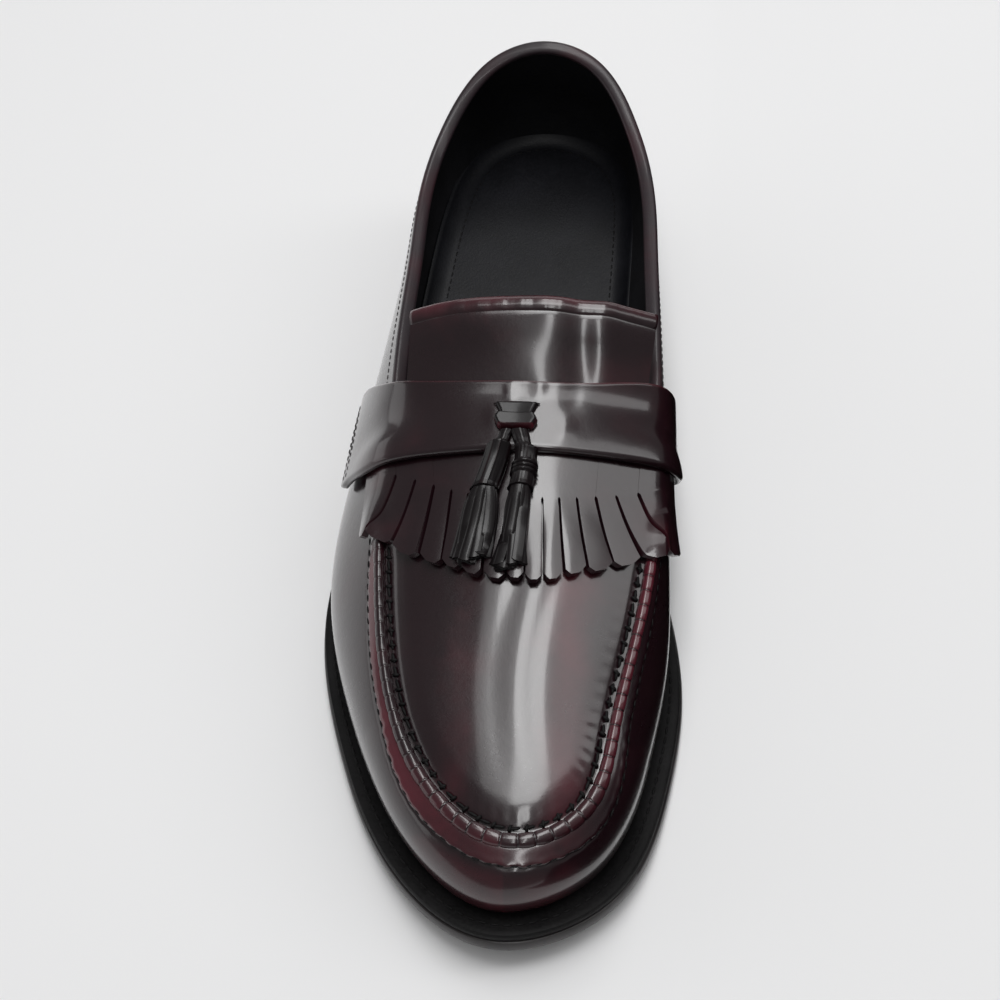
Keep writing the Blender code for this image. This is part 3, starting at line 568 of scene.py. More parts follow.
def column_of(table: Sequence[NamedTuple], name: str) -> Array:
    """One column of a table as an array."""
    return np.array([getattr(row, name) for row in table], float)


def unit(vectors: Array) -> Array:
    """Rows scaled to length one."""
    return vectors / np.maximum(np.linalg.norm(vectors, axis=1), 1e-12)[:, None]


def smooth(value: Array, low: float, high: float) -> Array:
    """Smooth step of an array from low to high."""
    k = np.clip((value - low) / (high - low), 0, 1)
    return k * k * (3 - 2 * k)


def hump(value: Array, middle: Values,
         width: float) -> Array:
    """Bell curve of height one."""
    return np.exp(-((value - middle) / width)**2)


def circle(count: int) -> tuple[Array, Array]:
    """Cosines and sines of even steps around a circle."""
    angles = np.linspace(0, 2 * math.pi, count, endpoint=False)
    return np.cos(angles), np.sin(angles)


def squared(value: Array, power: float) -> Array:
    """Cosines or sines pushed out towards a rounded square."""
    return np.sign(value) * np.abs(value)**power


def rounded(away: Array, radius: float) -> Array:
    """Share of the full height this far in from a rounded edge."""
    return np.sqrt(1 - (1 - np.clip(away / radius, 0, 1))**2)


def around(stations: Array) -> tuple[Array, Array]:
    """Stations and sides right around the shoe, from the stations of one side."""
    return (np.concatenate([stations, stations[1:-1][::-1]]),
            np.repeat([OUTSIDE, INSIDE], [len(stations), len(stations) - 2]))


def closed_spline(points: Sequence[Sequence[float]], count: int) -> Array:
    """Smooth closed curve through the given points.

    Args:
        points: the points to pass through, rows of x, y and more.
        count: how many points to give back.

    Returns:
        The curve's points.
    """
    p = np.asarray(points, float)
    n = len(p)
    ring = np.vstack([p, p[:1]])
    h = np.linalg.norm(np.diff(ring[:, :2], axis=0), axis=1)
    lhs, rhs = np.zeros((n, n)), np.zeros(p.shape)
    for i in range(n):
        back, ahead = h[i - 1], h[i]
        lhs[i, (i - 1) % n] += back
        lhs[i, i] += 2 * (back + ahead)
        lhs[i, (i + 1) % n] += ahead
        rhs[i] = 6 * ((ring[i + 1] - ring[i]) / ahead - (p[i] - p[i - 1]) / back)
    bend = np.linalg.solve(lhs, rhs)
    bend = np.vstack([bend, bend[:1]])
    at = np.concatenate([[0], np.cumsum(h)])
    s = np.linspace(0, at[-1], count, endpoint=False)
    k = np.clip(np.searchsorted(at, s, side="right") - 1, 0, n - 1)
    hk = h[k][:, None]
    a = (at[k + 1] - s)[:, None] / hk
    b = 1 - a
    return (a * ring[k] + b * ring[k + 1]
            + ((a**3 - a) * bend[k] + (b**3 - b) * bend[k + 1]) * hk**2 / 6)


def eased(xs: Array, ys: Array, x: Values) -> Array:
    """Cubic spline with level ends.

    Args:
        xs, ys: the table.
        x: where to read it, held to its ends.

    Returns:
        The values.
    """
    x = np.clip(np.asarray(x, float), xs[0], xs[-1])
    n, h = len(xs), np.diff(xs)
    slope = np.diff(ys) / h
    lhs, rhs = np.eye(n), np.zeros(n)
    lhs[0, :2] = 2 * h[0], h[0]
    lhs[-1, -2:] = h[-1], 2 * h[-1]
    rhs[0], rhs[-1] = 6 * slope[0], -6 * slope[-1]
    for i in range(1, n - 1):
        lhs[i, i - 1:i + 2] = h[i - 1], 2 * (h[i - 1] + h[i]), h[i]
        rhs[i] = 6 * (slope[i] - slope[i - 1])
    bend = np.linalg.solve(lhs, rhs)
    k = np.clip(np.searchsorted(xs, x, side="right") - 1, 0, n - 2)
    a = (xs[k + 1] - x) / h[k]
    b = 1 - a
    return (a * ys[k] + b * ys[k + 1]
            + ((a**3 - a) * bend[k] + (b**3 - b) * bend[k + 1]) * h[k]**2 / 6)


def held(xs: Array, ys: Array, x: Values) -> Array:
    """Monotone cubic that stays level where its table is level.

    Args:
        xs, ys: the table.
        x: where to read it, held to its ends.

    Returns:
        The values.
    """
    x = np.clip(np.asarray(x, float), xs[0], xs[-1])
    h = np.diff(xs)
    slope = np.diff(ys) / h
    m = np.zeros(len(xs))
    m[0], m[-1] = slope[0], slope[-1]
    for i in range(1, len(xs) - 1):
        if slope[i - 1] * slope[i] > 0:
            w1, w2 = 2 * h[i] + h[i - 1], h[i] + 2 * h[i - 1]
            m[i] = (w1 + w2) / (w1 / slope[i - 1] + w2 / slope[i])
    k = np.clip(np.searchsorted(xs, x, side="right") - 1, 0, len(h) - 1)
    t = (x - xs[k]) / h[k]
    return ((1 + 2 * t) * (1 - t)**2 * ys[k] + t * (1 - t)**2 * h[k] * m[k]
            + t * t * (3 - 2 * t) * ys[k + 1] + t * t * (t - 1) * h[k] * m[k + 1])


def five_mean(values: Array) -> Array:
    """Mean of each value and its two neighbours on either side."""
    return np.convolve(np.pad(values, 2, mode="edge"), np.full(5, 0.2), "valid")


def inset(curve: Array, by: Values) -> Array:
    """Move a closed plan curve, listed heel first down the outside, inwards."""
    along = unit(np.roll(curve, -1, 0) - np.roll(curve, 1, 0))
    inward = np.stack([-along[:, 1], along[:, 0]], 1)
    return curve + inward * np.asarray(by)[..., None]


def reach(pivots: Array, directions: Array, curve: Array) -> Array:
    """Where each ray leaves a closed curve.

    Args:
        pivots: start of each ray in plan.
        directions: unit direction of each ray in plan.
        curve: rows of x, y and further values.

    Returns:
        The curve's row at each ray's last crossing.
    """
    a, e = curve, np.roll(curve, -1, 0) - curve
    found = np.zeros((len(pivots), curve.shape[1]))
    for i, (p, u) in enumerate(zip(pivots, directions)):
        cross = u[0] * e[:, 1] - u[1] * e[:, 0]
        cross = np.where(np.abs(cross) < 1e-15, 1e-15, cross)
        w = a[:, :2] - p
        t = (w[:, 0] * e[:, 1] - w[:, 1] * e[:, 0]) / cross
        k = (w[:, 0] * u[1] - w[:, 1] * u[0]) / cross
        hit = np.where((k >= -1e-9) & (k < 1 + 1e-9) & (t > 0))[0]
        j = hit[t[hit].argmax()]
        found[i] = a[j] + e[j] * k[j]
    return found


@dataclass
class Last:
    """The shoe's form: plan curves, heights and the wall's two rims."""
    sole_length: float = 0.302
    ball_width: float = 0.1085
    heel_seat_height: float = 0.0226
    heel_length: float = 0.072
    toe_spring: float = 0.0085
    top_piece: float = 0.006
    outsole: float = 0.005
    welt: float = 0.0035
    insole: float = 0.003
    wall: float = 0.0022
    gap: float = 0.0003
    back_height: float = 0.083
    binding_drop: float = 0.0030
    vamp_crown: float = 5.6
    heel_pivot: tuple[float, float] = (0.0020, 0.1160)
    toe_pivot: tuple[float, float] = (0.0080, -0.0970)
    throat: float = 1.60
    samples: int = 2400
    sole_curve: Array = field(init=False)
    rim_curve: Array = field(init=False)
    foot_curve: Array = field(init=False)
    middle: Array = field(init=False)

    def __post_init__(self) -> None:
        """Work out the three closed curves and the plan's middle."""
        self.sole_curve = closed_spline(
            [self.plan(p.across, p.along) for p in SOLE_EDGE], self.samples)
        self.rim_curve = closed_spline(
            [(*self.plan(p.across, p.along), p.height * self.back_height)
             for p in RIM], self.samples)
        self.foot_curve = inset(self.sole_curve, self.margin())
        self.middle = (self.sole_curve.max(0) + self.sole_curve.min(0)) / 2

    def plan(self, across: float, along: float) -> tuple[float, float]:
        """Plan coordinates of shares of the sole's size."""
        return across * self.ball_width / 2, (0.5 - along) * self.sole_length

    def along_of(self, y: Array) -> Array:
        """Share of the sole's length from the heel at y."""
        return 0.5 - np.asarray(y) / self.sole_length

    def margin(self) -> Array:
        """Width of the welt outside the upper's foot, around the sole's curve."""
        return held(column_of(MARGIN, "along"), column_of(MARGIN, "width"),
                    self.along_of(self.sole_curve[:, 1]))

    def underside(self, y: Array) -> Array:
        """Height of the outsole's underside at places along the shoe."""
        heights = (column_of(RISE, "of_heel") * self.heel_seat_height
                   + column_of(RISE, "of_spring") * self.toe_spring)
        return held(column_of(RISE, "along"), heights, self.along_of(y))

    def seat(self, y: Array) -> Array:
        """Height of the welt's top, where the upper and the insole stand."""
        return self.underside(y) + self.outsole + self.welt

    def rays(self, s: Array, side: Array) -> tuple[Array, Array]:
        """Axis point and outward direction of each column.

        Args:
            s: stations.
            side: OUTSIDE or INSIDE, for each.

        Returns:
            Points on the axis, and unit directions in plan.
        """
        heel, toe = np.array(self.heel_pivot), np.array(self.toe_pivot)
        pivots = heel + np.clip(s - 1, 0, 1)[:, None] * (toe - heel)
        turn = np.where(s < 1, s, np.where(s > 2, 3 - s, 1.0)) * math.pi / 2
        ahead = np.where(s < 1.5, 1.0, -1.0)
        return pivots, np.stack([side * np.sin(turn), ahead * np.cos(turn)], 1)

    def rims_at(self, y: Array) -> tuple[Array, ...]:
        """Rim points level with y.

        Args:
            y: places along the shoe.

        Returns:
            Outside x and z, then inside x and z.
        """
        tip = self.rim_curve[:, 1].argmin()
        outer, inner = self.rim_curve[:tip + 1][::-1], self.rim_curve[tip:]
        return (np.interp(y, outer[:, 1], outer[:, 0]),
                np.interp(y, outer[:, 1], outer[:, 2]),
                np.interp(y, inner[:, 1], inner[:, 0]),
                np.interp(y, inner[:, 1], inner[:, 2]))

    def vamp_height(self, x: Array, y: Array) -> Array:
        """Height of the apron panel between the two arms of its seam."""
        left, low, right, high = self.rims_at(y)
        k = np.clip((x - left) / np.maximum(right - left, 1e-6), 0, 1)
        return (low + (high - low) * k
                + self.vamp_crown * np.maximum(right - x, 0) * np.maximum(x - left, 0))


class Ring:
    """The wall's curve from foot to rim at each column around the shoe."""

    def __init__(self, last: Last, stations: Array) -> None:
        """Lay out a closed ring of columns from one side's stations.

        Args:
            last: the last.
            stations: one side's stations, from 0 to 3.
        """
        self.last = last
        self.per_side = len(stations)
        self.stations, self.sides = around(stations)
        self.pivots, out = last.rays(self.stations, self.sides)
        foot = reach(self.pivots, out, last.foot_curve)
        self.foot = np.c_[foot, last.seat(foot[:, 1]) + last.gap]
        self.rim = reach(self.pivots, out, last.rim_curve)
        self.out = np.c_[out, np.zeros(len(out))]
        tall = (self.rim - self.foot)[:, 2]
        self.low = self.foot + self.out * self._pull("low")[:, None]
        self.low[:, 2] += self._share("low_up") * tall
        self.high = self.rim + self.out * self._pull("high")[:, None]
        self.high[:, 2] -= self._share("high_down") * tall
        self.front = self.stations >= last.throat - 1e-6

    def _share(self, name: str) -> Array:
        """A column of WALLS at each station."""
        return eased(column_of(WALLS, "station"), column_of(WALLS, name), self.stations)

    def _pull(self, name: str) -> Array:
        """Handle pull of each column: the low or high one, outside or inside."""
        return np.where(self.sides == OUTSIDE, self._share(name + "_outside"),
                        self._share(name + "_inside"))

    def at(self, share: Values) -> Array:
        """Points at a share of each curve: 0 at the foot, 1 at the rim."""
        t = np.broadcast_to(share, len(self.stations))[:, None]
        u = 1 - t
        return (u**3 * self.foot + 3 * u * u * t * self.low
                + 3 * u * t * t * self.high + t**3 * self.rim)

    def upward(self) -> Array:
        """Unit direction in which each curve arrives at the rim."""
        return unit(self.rim - self.high)

    def along(self) -> Array:
        """Unit direction of the rim from column to column."""
        return unit(np.roll(self.rim, -1, 0) - np.roll(self.rim, 1, 0))

    def apron(self) -> tuple[Array, ...]:
        """Columns before the throat: numbers, pivots, directions, radii in plan."""
        pick = np.where(self.front)[0]
        pivots, out = self.pivots[pick], self.out[pick, :2]
        return pick, pivots, out, np.linalg.norm(self.rim[pick, :2] - pivots, axis=1)

    def rear_order(self, end: float) -> Array:
        """Numbers of the columns around the back, up to the station end."""
        behind = int((self.stations[:self.per_side] < end).sum())
        return np.arange(1 - behind, behind)[::-1] % len(self.stations)

    def share_below_rim(self, drop: Values) -> Array:
        """Share that ends a drop, square to the rim, below it."""
        slant = (self.upward() * self.along()).sum(1)
        arc = 3 * np.linalg.norm(self.rim - self.high, axis=1)
        return 1 - drop / np.sqrt(1 - slant**2) / arc

    def run(self) -> Array:
        """Length along the rim from the throat outside, at each column."""
        step = np.linalg.norm(np.diff(self.rim, axis=0), axis=1)
        length = np.concatenate([[0], np.cumsum(step)])
        return length - length[int(np.argmax(self.front))]


# Mesh tools

class Sheet:
    """An open surface; faces wind so that their normal points out."""

    def __init__(self) -> None:
        """Start empty."""
        self.points: list[tuple[float, ...]] = []
        self.faces: list[tuple[int, ...]] = []
        self.marks: dict[str, list[float]] = {}
        self.under: dict[int, Array] = {}
        self._known: dict[tuple[int, ...], int] = {}

    def row(self, points: Array, **marks: Array) -> list[int]:
        """Add a row of points, shared with equal ones already there.

        Args:
            points: the row's points.
            marks: numbers to store at the new points, by name.

        Returns:
            The points' indices.
        """
        found = []
        for i, p in enumerate(points):
            key = tuple(np.round(np.asarray(p) * 1e7).astype(int))
            if key not in self._known:
                self._known[key] = len(self.points)
                self.points.append(tuple(float(c) for c in p))
                for name, values in marks.items():
                    self.marks.setdefault(name, []).append(float(values[i]))
            found.append(self._known[key])
        return found

    def pair(self, outer: Array, inner: Array, **marks: Array) -> list[int]:
        """Add a row together with the second skin's points under it."""
        found = self.row(outer, **marks)
        self.under.update(zip(found, inner))
        return found

    def stack(self, rows: Sequence[Sequence[int]], closed: bool = False) -> None:
        """Add faces between each row and the next."""
        for low, high in zip(rows, rows[1:]):
            self.span(low, high, closed)

    def span(self, low: Sequence[int], high: Sequence[int], closed: bool = False) -> None:
        """Add faces between two rows of the same length.

        Args:
            low, high: the rows' point numbers.
            closed: whether the rows are rings.
        """
        n = len(low)
        for i in range(n if closed else n - 1):
            j = (i + 1) % n
            face = list(dict.fromkeys((low[i], low[j], high[j], high[i])))
            if len(face) > 2:
                self.faces.append(tuple(face))

    def normals(self) -> Array:
        """Unit normals of the points.

        Returns:
            One row for each point.
        """
        p = np.array(self.points)
        n = np.zeros_like(p)
        for face in self.faces:
            q = p[list(face)]
            n[list(face)] += np.cross(q, np.roll(q, -1, 0)).sum(0)
        return unit(n)

    def thicken(self, under: Optional[Array] = None) -> "Sheet":
        """Close the sheet with a second skin.

        Args:
            under: the second skin's points; without them those of pair are taken.

        Returns:
            The closed sheet.
        """
        n = len(self.points)
        if under is None:
            under = [self.under[i] for i in range(n)]
        edges = {(f[i - 1], f[i]) for f in self.faces for i in range(len(f))}
        closed = Sheet()
        closed.points = self.points + [tuple(p) for p in under]
        closed.faces = (
            self.faces + [tuple(v + n for v in reversed(f)) for f in self.faces]
            + [(b, a, a + n, b + n) for a, b in edges if (b, a) not in edges])
        closed.marks = {k: v + v for k, v in self.marks.items()}
        return closed


def loft(rings: Sequence[Array], capped: bool = False,
         **marks: Sequence[Array]) -> Sheet:
    """Skin a chain of closed rings.

    Args:
        rings: the rings, each an array of points.
        capped: whether flat caps close both ends.
        marks: numbers of each ring's points, by name.

    Returns:
        The surface.
    """
    sheet = Sheet()
    rows = [sheet.row(ring, **{k: v[i] for k, v in marks.items()})
            for i, ring in enumerate(rings)]
    sheet.stack(rows, closed=True)
    if capped:
        sheet.faces += [tuple(reversed(rows[0])), tuple(rows[-1])]
    return sheet


def placed(name: str, data: bpy.types.ID) -> bpy.types.Object:
    """A new object in the scene."""
    obj = bpy.data.objects.new(name, data)
    bpy.context.scene.collection.objects.link(obj)
    return obj


class Workbench:
    """Turns sheets into pieces that ride on the part."""

    def __init__(self, last: Last) -> None:
        """Remember the last, whose plan middle is the frame's origin."""
        self.move = Matrix.Translation((-last.middle[0], -last.middle[1], 0.0))
        self.objects: dict[str, bpy.types.Object] = {}

    def piece(self, name: str, sheet: Sheet, finish: Material,
              replaces: Iterable[str] = (), slot: Slot = Slot.LEATHER,
              bevel: float = 0.0, creased: bool = False) -> bpy.types.Object:
        """Make a piece from a sheet.

        Args:
            name: the piece's name.
            sheet: its closed surface.
            finish: its material.
            replaces: the CAD nodes it stands for.
            slot: the record's slot it belongs to.
            bevel: width of a rounding on its sharp edges.
            creased: whether sharp edges keep their corner in the shading.

        Returns:
            The object.
        """
        mesh = bpy.data.meshes.new(name)
        mesh.from_pydata(sheet.points, [], sheet.faces)
        mesh.transform(self.move)
        for key, values in sheet.marks.items():
            mesh.attributes.new(key, "FLOAT", "POINT").data.foreach_set(
                "value", np.array(values, np.float32))
        bm = bmesh.new()
        bm.from_mesh(mesh)
        bmesh.ops.recalc_face_normals(bm, faces=bm.faces)
        bm.to_mesh(mesh)
        bm.free()
        mesh.materials.append(finish)
        mesh.shade_smooth()
        if creased:
            mesh.set_sharp_from_angle(angle=math.radians(38))
        obj = placed(name, mesh)
        if bevel:
            soften = obj.modifiers.new("soft edge", "BEVEL")
            soften.width, soften.segments = bevel, 2
            soften.limit_method, soften.angle_limit = "ANGLE", math.radians(40)
            soften.use_clamp_overlap = True
        return self.keep(obj, slot, replaces)

    def keep(self, obj: bpy.types.Object, slot: Slot,
             replaces: Iterable[str] = ()) -> bpy.types.Object:
        """Let a finished piece ride on the part and log it.

        Args:
            obj: the piece.
            slot: not used.
            replaces: the CAD nodes it stands for.

        Returns:
            The object.
        """
        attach(obj, "root")
        if replaces:
            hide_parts(*replaces)
        self.objects[obj.name] = obj
        LOG.info("%s: %d faces", obj.name, len(obj.data.polygons))
        return obj


@dataclass
class Path:
    """A line on a surface, with the surface's normal along it."""
    points: Array
    normals: Array

    def spaced(self, pitch: float, start: float = 0.0) -> tuple[Array, ...]:
        """Places at equal steps along the line.

        Args:
            pitch: the step.
            start: where the first one is.

        Returns:
            Points, unit tangents and unit normals.
        """
        step = np.linalg.norm(np.diff(self.points, axis=0), axis=1)
        at = np.concatenate([[0], np.cumsum(step)])
        wanted = np.arange(start, at[-1], pitch)
        points, normals = (np.stack([np.interp(wanted, at, a[:, k]) for k in range(3)], 1)
                           for a in (self.points, self.normals))
        ahead = np.stack([np.interp(wanted + 0.0004, at, self.points[:, k])
                          - np.interp(wanted - 0.0004, at, self.points[:, k])
                          for k in range(3)], 1)
        return points, unit(ahead), unit(normals)


@dataclass
class StitchRow:
    """A row of equal stitches made by Geometry Nodes on marked points."""
    name: str
    long: float = 0.0024
    wide: float = 0.00055
    high: float = 0.00045
    turned: float = 0.0

    def _tree(self, finish: Material) -> bpy.types.NodeTree:
        """Tree that puts one stitch on each point, turned to its marks.

        Args:
            finish: the stitches' material.

        Returns:
            The tree.
        """
        tree = bpy.data.node_groups.new(self.name + "_tree", "GeometryNodeTree")
        face = tree.interface
        face.new_socket("Geometry", in_out="INPUT", socket_type="NodeSocketGeometry")
        size = face.new_socket("Stitch Size", in_out="INPUT",
                               socket_type="NodeSocketVector")
        size.default_value = (self.long, self.wide, self.high)
        face.new_socket("Geometry", in_out="OUTPUT", socket_type="NodeSocketGeometry")

        group_in = tree.nodes.new("NodeGroupInput")
        ball = add_node(tree, "GeometryNodeMeshUVSphere", None,
                        {"Segments": 8, "Rings": 6, "Radius": 0.5})
        along, up = (add_node(tree, "GeometryNodeInputNamedAttribute",
                              {"data_type": "FLOAT_VECTOR"}, {"Name": name}).outputs[0]
                     for name in ("stitch_along", "stitch_up"))
        turn = add_node(tree, "FunctionNodeAlignRotationToVector", {"axis": "X"},
                        {"Vector": along})
        tilt = add_node(tree, "FunctionNodeAlignRotationToVector",
                        {"axis": "Z", "pivot_axis": "X"},
                        {"Rotation": turn.outputs[0], "Vector": up})
        place = add_node(tree, "GeometryNodeInstanceOnPoints", None, {
            "Points": group_in.outputs[0], "Instance": ball.outputs[0],
            "Rotation": tilt.outputs[0], "Scale": group_in.outputs["Stitch Size"]})
        real = add_node(tree, "GeometryNodeRealizeInstances", None, {0: place.outputs[0]})
        even = add_node(tree, "GeometryNodeSetShadeSmooth", None, {0: real.outputs[0]})
        dress = add_node(tree, "GeometryNodeSetMaterial", None,
                         {0: even.outputs[0], "Material": finish})
        group_out = tree.nodes.new("NodeGroupOutput")
        tree.links.new(dress.outputs[0], group_out.inputs[0])
        return tree

    def sew(self, bench: Workbench, paths: Sequence[Path], pitch: float, lift: float,
            finish: Material, slot: Slot = Slot.LEATHER) -> bpy.types.Object:
        """Sew the row along paths.

        Args:
            bench: the workbench.
            paths: the lines to sew.
            pitch: distance from stitch to stitch.
            lift: height of the stitches' middle over the line.
            finish: the thread.
            slot: the record's slot it belongs to.

        Returns:
            The row as one plain mesh.
        """
        places = [path.spaced(pitch, pitch / 2) for path in paths]
        points = np.concatenate([p + n * lift for p, _, n in places])
        along = np.concatenate([t for _, t, _ in places])
        up = np.concatenate([n for _, _, n in places])
        if self.turned:
            side = np.cross(up, along)
            c, s = math.cos(self.turned), math.sin(self.turned)
            along = along * c + side * s
        mesh = bpy.data.meshes.new(self.name)
        mesh.from_pydata(points.tolist(), [], [])
        mesh.transform(bench.move)
        for key, values in (("stitch_along", along), ("stitch_up", up)):
            mesh.attributes.new(key, "FLOAT_VECTOR", "POINT").data.foreach_set(
                "vector", values.astype(np.float32).ravel())
        seed = placed(self.name, mesh)
        tree = self._tree(finish)
        modifier = seed.modifiers.new("stitches", "NODES")
        modifier.node_group = tree
        size = next(i for i in tree.interface.items_tree
                    if i.name == "Stitch Size" and i.in_out == "INPUT")
        modifier[size.identifier] = (self.long, self.wide, self.high)
        made = bpy.data.meshes.new_from_object(
            seed.evaluated_get(bpy.context.evaluated_depsgraph_get()))
        seed.modifiers.clear()
        seed.data = made
        made.name = self.name
        return bench.keep(seed, slot)


# The shoe's sub-assemblies

@dataclass
class Assembly:
    """What every sub-assembly works with."""
    last: Last
    bench: Workbench
    finishes: Finishes


@dataclass
class SoleUnit(Assembly):
    """Outsole, welt, heel and insole."""
    welt_back: float = 0.0007
    breast_hollow: float = 0.0035
    lift_rim: float = 0.0004
    stations: Array = field(default_factory=lambda: np.concatenate([
        np.linspace(0, 1, 40, endpoint=False), np.linspace(1, 2, 60, endpoint=False),
        np.linspace(2, 3, 61)]))

    def _slab(self, curve: Array, bottom: Callable, top: Callable,
              profile: Sequence[tuple[float, float]], shares: Sequence[float]) -> Sheet:
        """A plate.

        Args:
            curve: its plan.
            bottom: height of its lower face by y.
            top: height of its upper face by y.
            profile: edge points from the lower to the upper face, each an inset
                and a share of the height.
            shares: rings of the faces, from the middle outwards.

        Returns:
            The closed surface.
        """
        pivots, out = self.last.rays(*around(self.stations))
        edge = reach(pivots, out, curve)

        def ring(share: float, back: float, up: float) -> Array:
            """Ring at a share outwards, inset from the edge, up the height."""
            p = pivots + (edge - out * back - pivots) * share
            low, high = bottom(p[:, 1]), top(p[:, 1])
            return np.c_[p, low + (high - low) * up]

        rings = [ring(k, profile[0][0], 0.0) for k in shares]
        rings += [ring(1.0, back, up) for back, up in profile]
        rings += [ring(k, profile[-1][0], 1.0) for k in reversed(shares)]
        return loft(rings)

    def _heel_plan(self, back: float) -> Array:
        """The heel's plan: the sole's edge behind a hollow breast.

        Args:
            back: how far inside the sole's edge.

        Returns:
            The closed curve.
        """
        breast = self.last.sole_length / 2 - self.last.heel_length
        curve = inset(self.last.sole_curve, back)
        curve = np.roll(curve, -int(np.argmax(curve[:, 1])), 0)
        behind = curve[:, 1] >= breast
        first = int(np.argmin(behind))
        last = len(curve) - int(np.argmin(behind[::-1]))
        run = np.vstack([curve[last:], curve[:first]])
        run = run[np.linspace(0, len(run) - 1, 90).astype(int)]
        t = np.linspace(0, 1, 24)[1:-1]
        front = run[-1] + (run[0] - run[-1]) * t[:, None]
        front[:, 1] += self.breast_hollow * np.sin(math.pi * t)
        return np.vstack([run, front])

    def _lift(self, low_back: float, high_back: float, bottom: Callable,
              top: Callable) -> Sheet:
        """One lift of the heel, with softened rims.

        Args:
            low_back, high_back: inset of its lower and upper face.
            bottom, top: height of each face by y.

        Returns:
            The closed surface.
        """
        middle = np.array([0.0, self.last.sole_length / 2 - 0.55 * self.last.heel_length])
        low, high = self._heel_plan(low_back), self._heel_plan(high_back)
        soft = self.lift_rim

        def ring(points: Array, share: float, height: Callable, lift: float) -> Array:
            """One ring of the lift.

            Args:
                points: the plan.
                share: how far out from the middle.
                height: the height by y.
                lift: metres above that height; 0 on a face, whose rim is drawn in.

            Returns:
                The ring's points.
            """
            reach_in = points - middle
            size = np.linalg.norm(reach_in, axis=1)[:, None]
            p = middle + reach_in * (share - (soft / size if share == 1.0 and not lift
                                              else 0.0))
            return np.c_[p, height(p[:, 1]) + lift]

        return loft([ring(low, k, bottom, 0.0) for k in (0.0, 0.5, 1.0)]
                    + [ring(low, 1.0, bottom, soft), ring(high, 1.0, top, -soft)]
                    + [ring(high, k, top, 0.0) for k in (1.0, 0.5, 0.0)])

    def build(self) -> None:
        """Build the bottom of the shoe."""
        last, bench = self.last, self.bench
        under, seat = last.underside, last.seat
        shares = (0.0, 0.25, 0.45, 0.62, 0.78, 0.9, 1.0)
        sole_edge = [(0.0012, 0.0), (0.0005, 0.06), (0.0001, 0.2), (0.0, 0.45),
                     (0.0001, 0.8), (0.0004, 0.95), (0.0008, 1.0)]
        bench.piece("outsole_dressed", self._slab(
            last.sole_curve, under, lambda y: under(y) + last.outsole, sole_edge, shares),
            self.finishes.edge, ["outsole"], Slot.EDGE, creased=True)
        welt_edge = [(0.0006, 0.0), (0.0002, 0.1), (0.0000, 0.35), (0.0000, 0.7),
                     (0.0004, 0.93), (0.0010, 1.0), (0.0020, 1.0)]
        bench.piece("welt_dressed", self._slab(
            inset(last.sole_curve, self.welt_back),
            lambda y: under(y) + last.outsole + last.gap * 0.3, seat, welt_edge, shares),
            self.finishes.welt, ["welt"], Slot.WELT, creased=True)
        bench.piece("heel_block_dressed", self._lift(
            0.0016, 0.0008, lambda y: np.full(len(y), last.top_piece + 0.0001),
            lambda y: under(y) - 0.0001),
            self.finishes.lifts, ["heel_block"], Slot.EDGE, creased=True)
        bench.piece("heel_top_piece_dressed", self._lift(
            0.0020, 0.0016, lambda y: np.zeros(len(y)),
            lambda y: np.full(len(y), last.top_piece)),
            self.finishes.rubber, ["heel_top_piece"], Slot.RUBBER, creased=True)
        self._insole()
        self._welt_stitches()

    def _insole(self) -> None:
        """The sock inside, soft at its edge, with its stitched line."""
        last, bench = self.last, self.bench
        curve = inset(last.foot_curve, 1.1 * last.wall + last.gap)
        floor = 1.3 * last.gap
        bench.piece("insole_dressed", self._slab(
            curve, lambda y: last.seat(y) + floor,
            lambda y: last.seat(y) + floor + last.insole,
            [(0.0004, 0.0), (-0.0008, 0.4), (-0.0020, 1.0), (-0.0030, 1.9),
             (-0.0034, 2.4), (-0.0030, 2.5), (-0.0020, 2.0), (-0.0004, 1.35),
             (0.0022, 1.0)],
            (0.0, 0.2, 0.4, 0.55, 0.7, 0.8, 0.9, 0.96, 1.0)),
            self.finishes.sock, ["insole"], Slot.LINING)
        line = inset(curve, 0.0036)
        start = int(np.argmin(np.hypot(line[:, 0] - 0.04, line[:, 1] + 0.02)))
        line = np.roll(line, -start, 0)
        line = line[line[:, 1] > -0.02]
        StitchRow("insole_stitches", 0.0021, 0.00055, 0.0003).sew(
            bench, [self._on_seat(line, floor + last.insole)], 0.0030, 0.00005,
            self.finishes.welt, Slot.LINING)

    def _welt_stitches(self) -> None:
        """The welt's row of stitches, halfway between its edge and the upper."""
        back = self.welt_back + 0.48 * (self.last.margin() - self.welt_back)
        line = inset(self.last.sole_curve, back)
        StitchRow("welt_stitches", 0.0030, 0.00085, 0.0008).sew(
            self.bench, [self._on_seat(line)], 0.0035, 0.00002, self.finishes.welt,
            Slot.WELT)

    def _on_seat(self, line: Array, lift: float = 0.0) -> Path:
        """A plan line laid this far above the seat."""
        points = np.c_[line, self.last.seat(line[:, 1]) + lift]
        return Path(points, np.tile((0.0, 0.0, 1.0), (len(points), 1)))


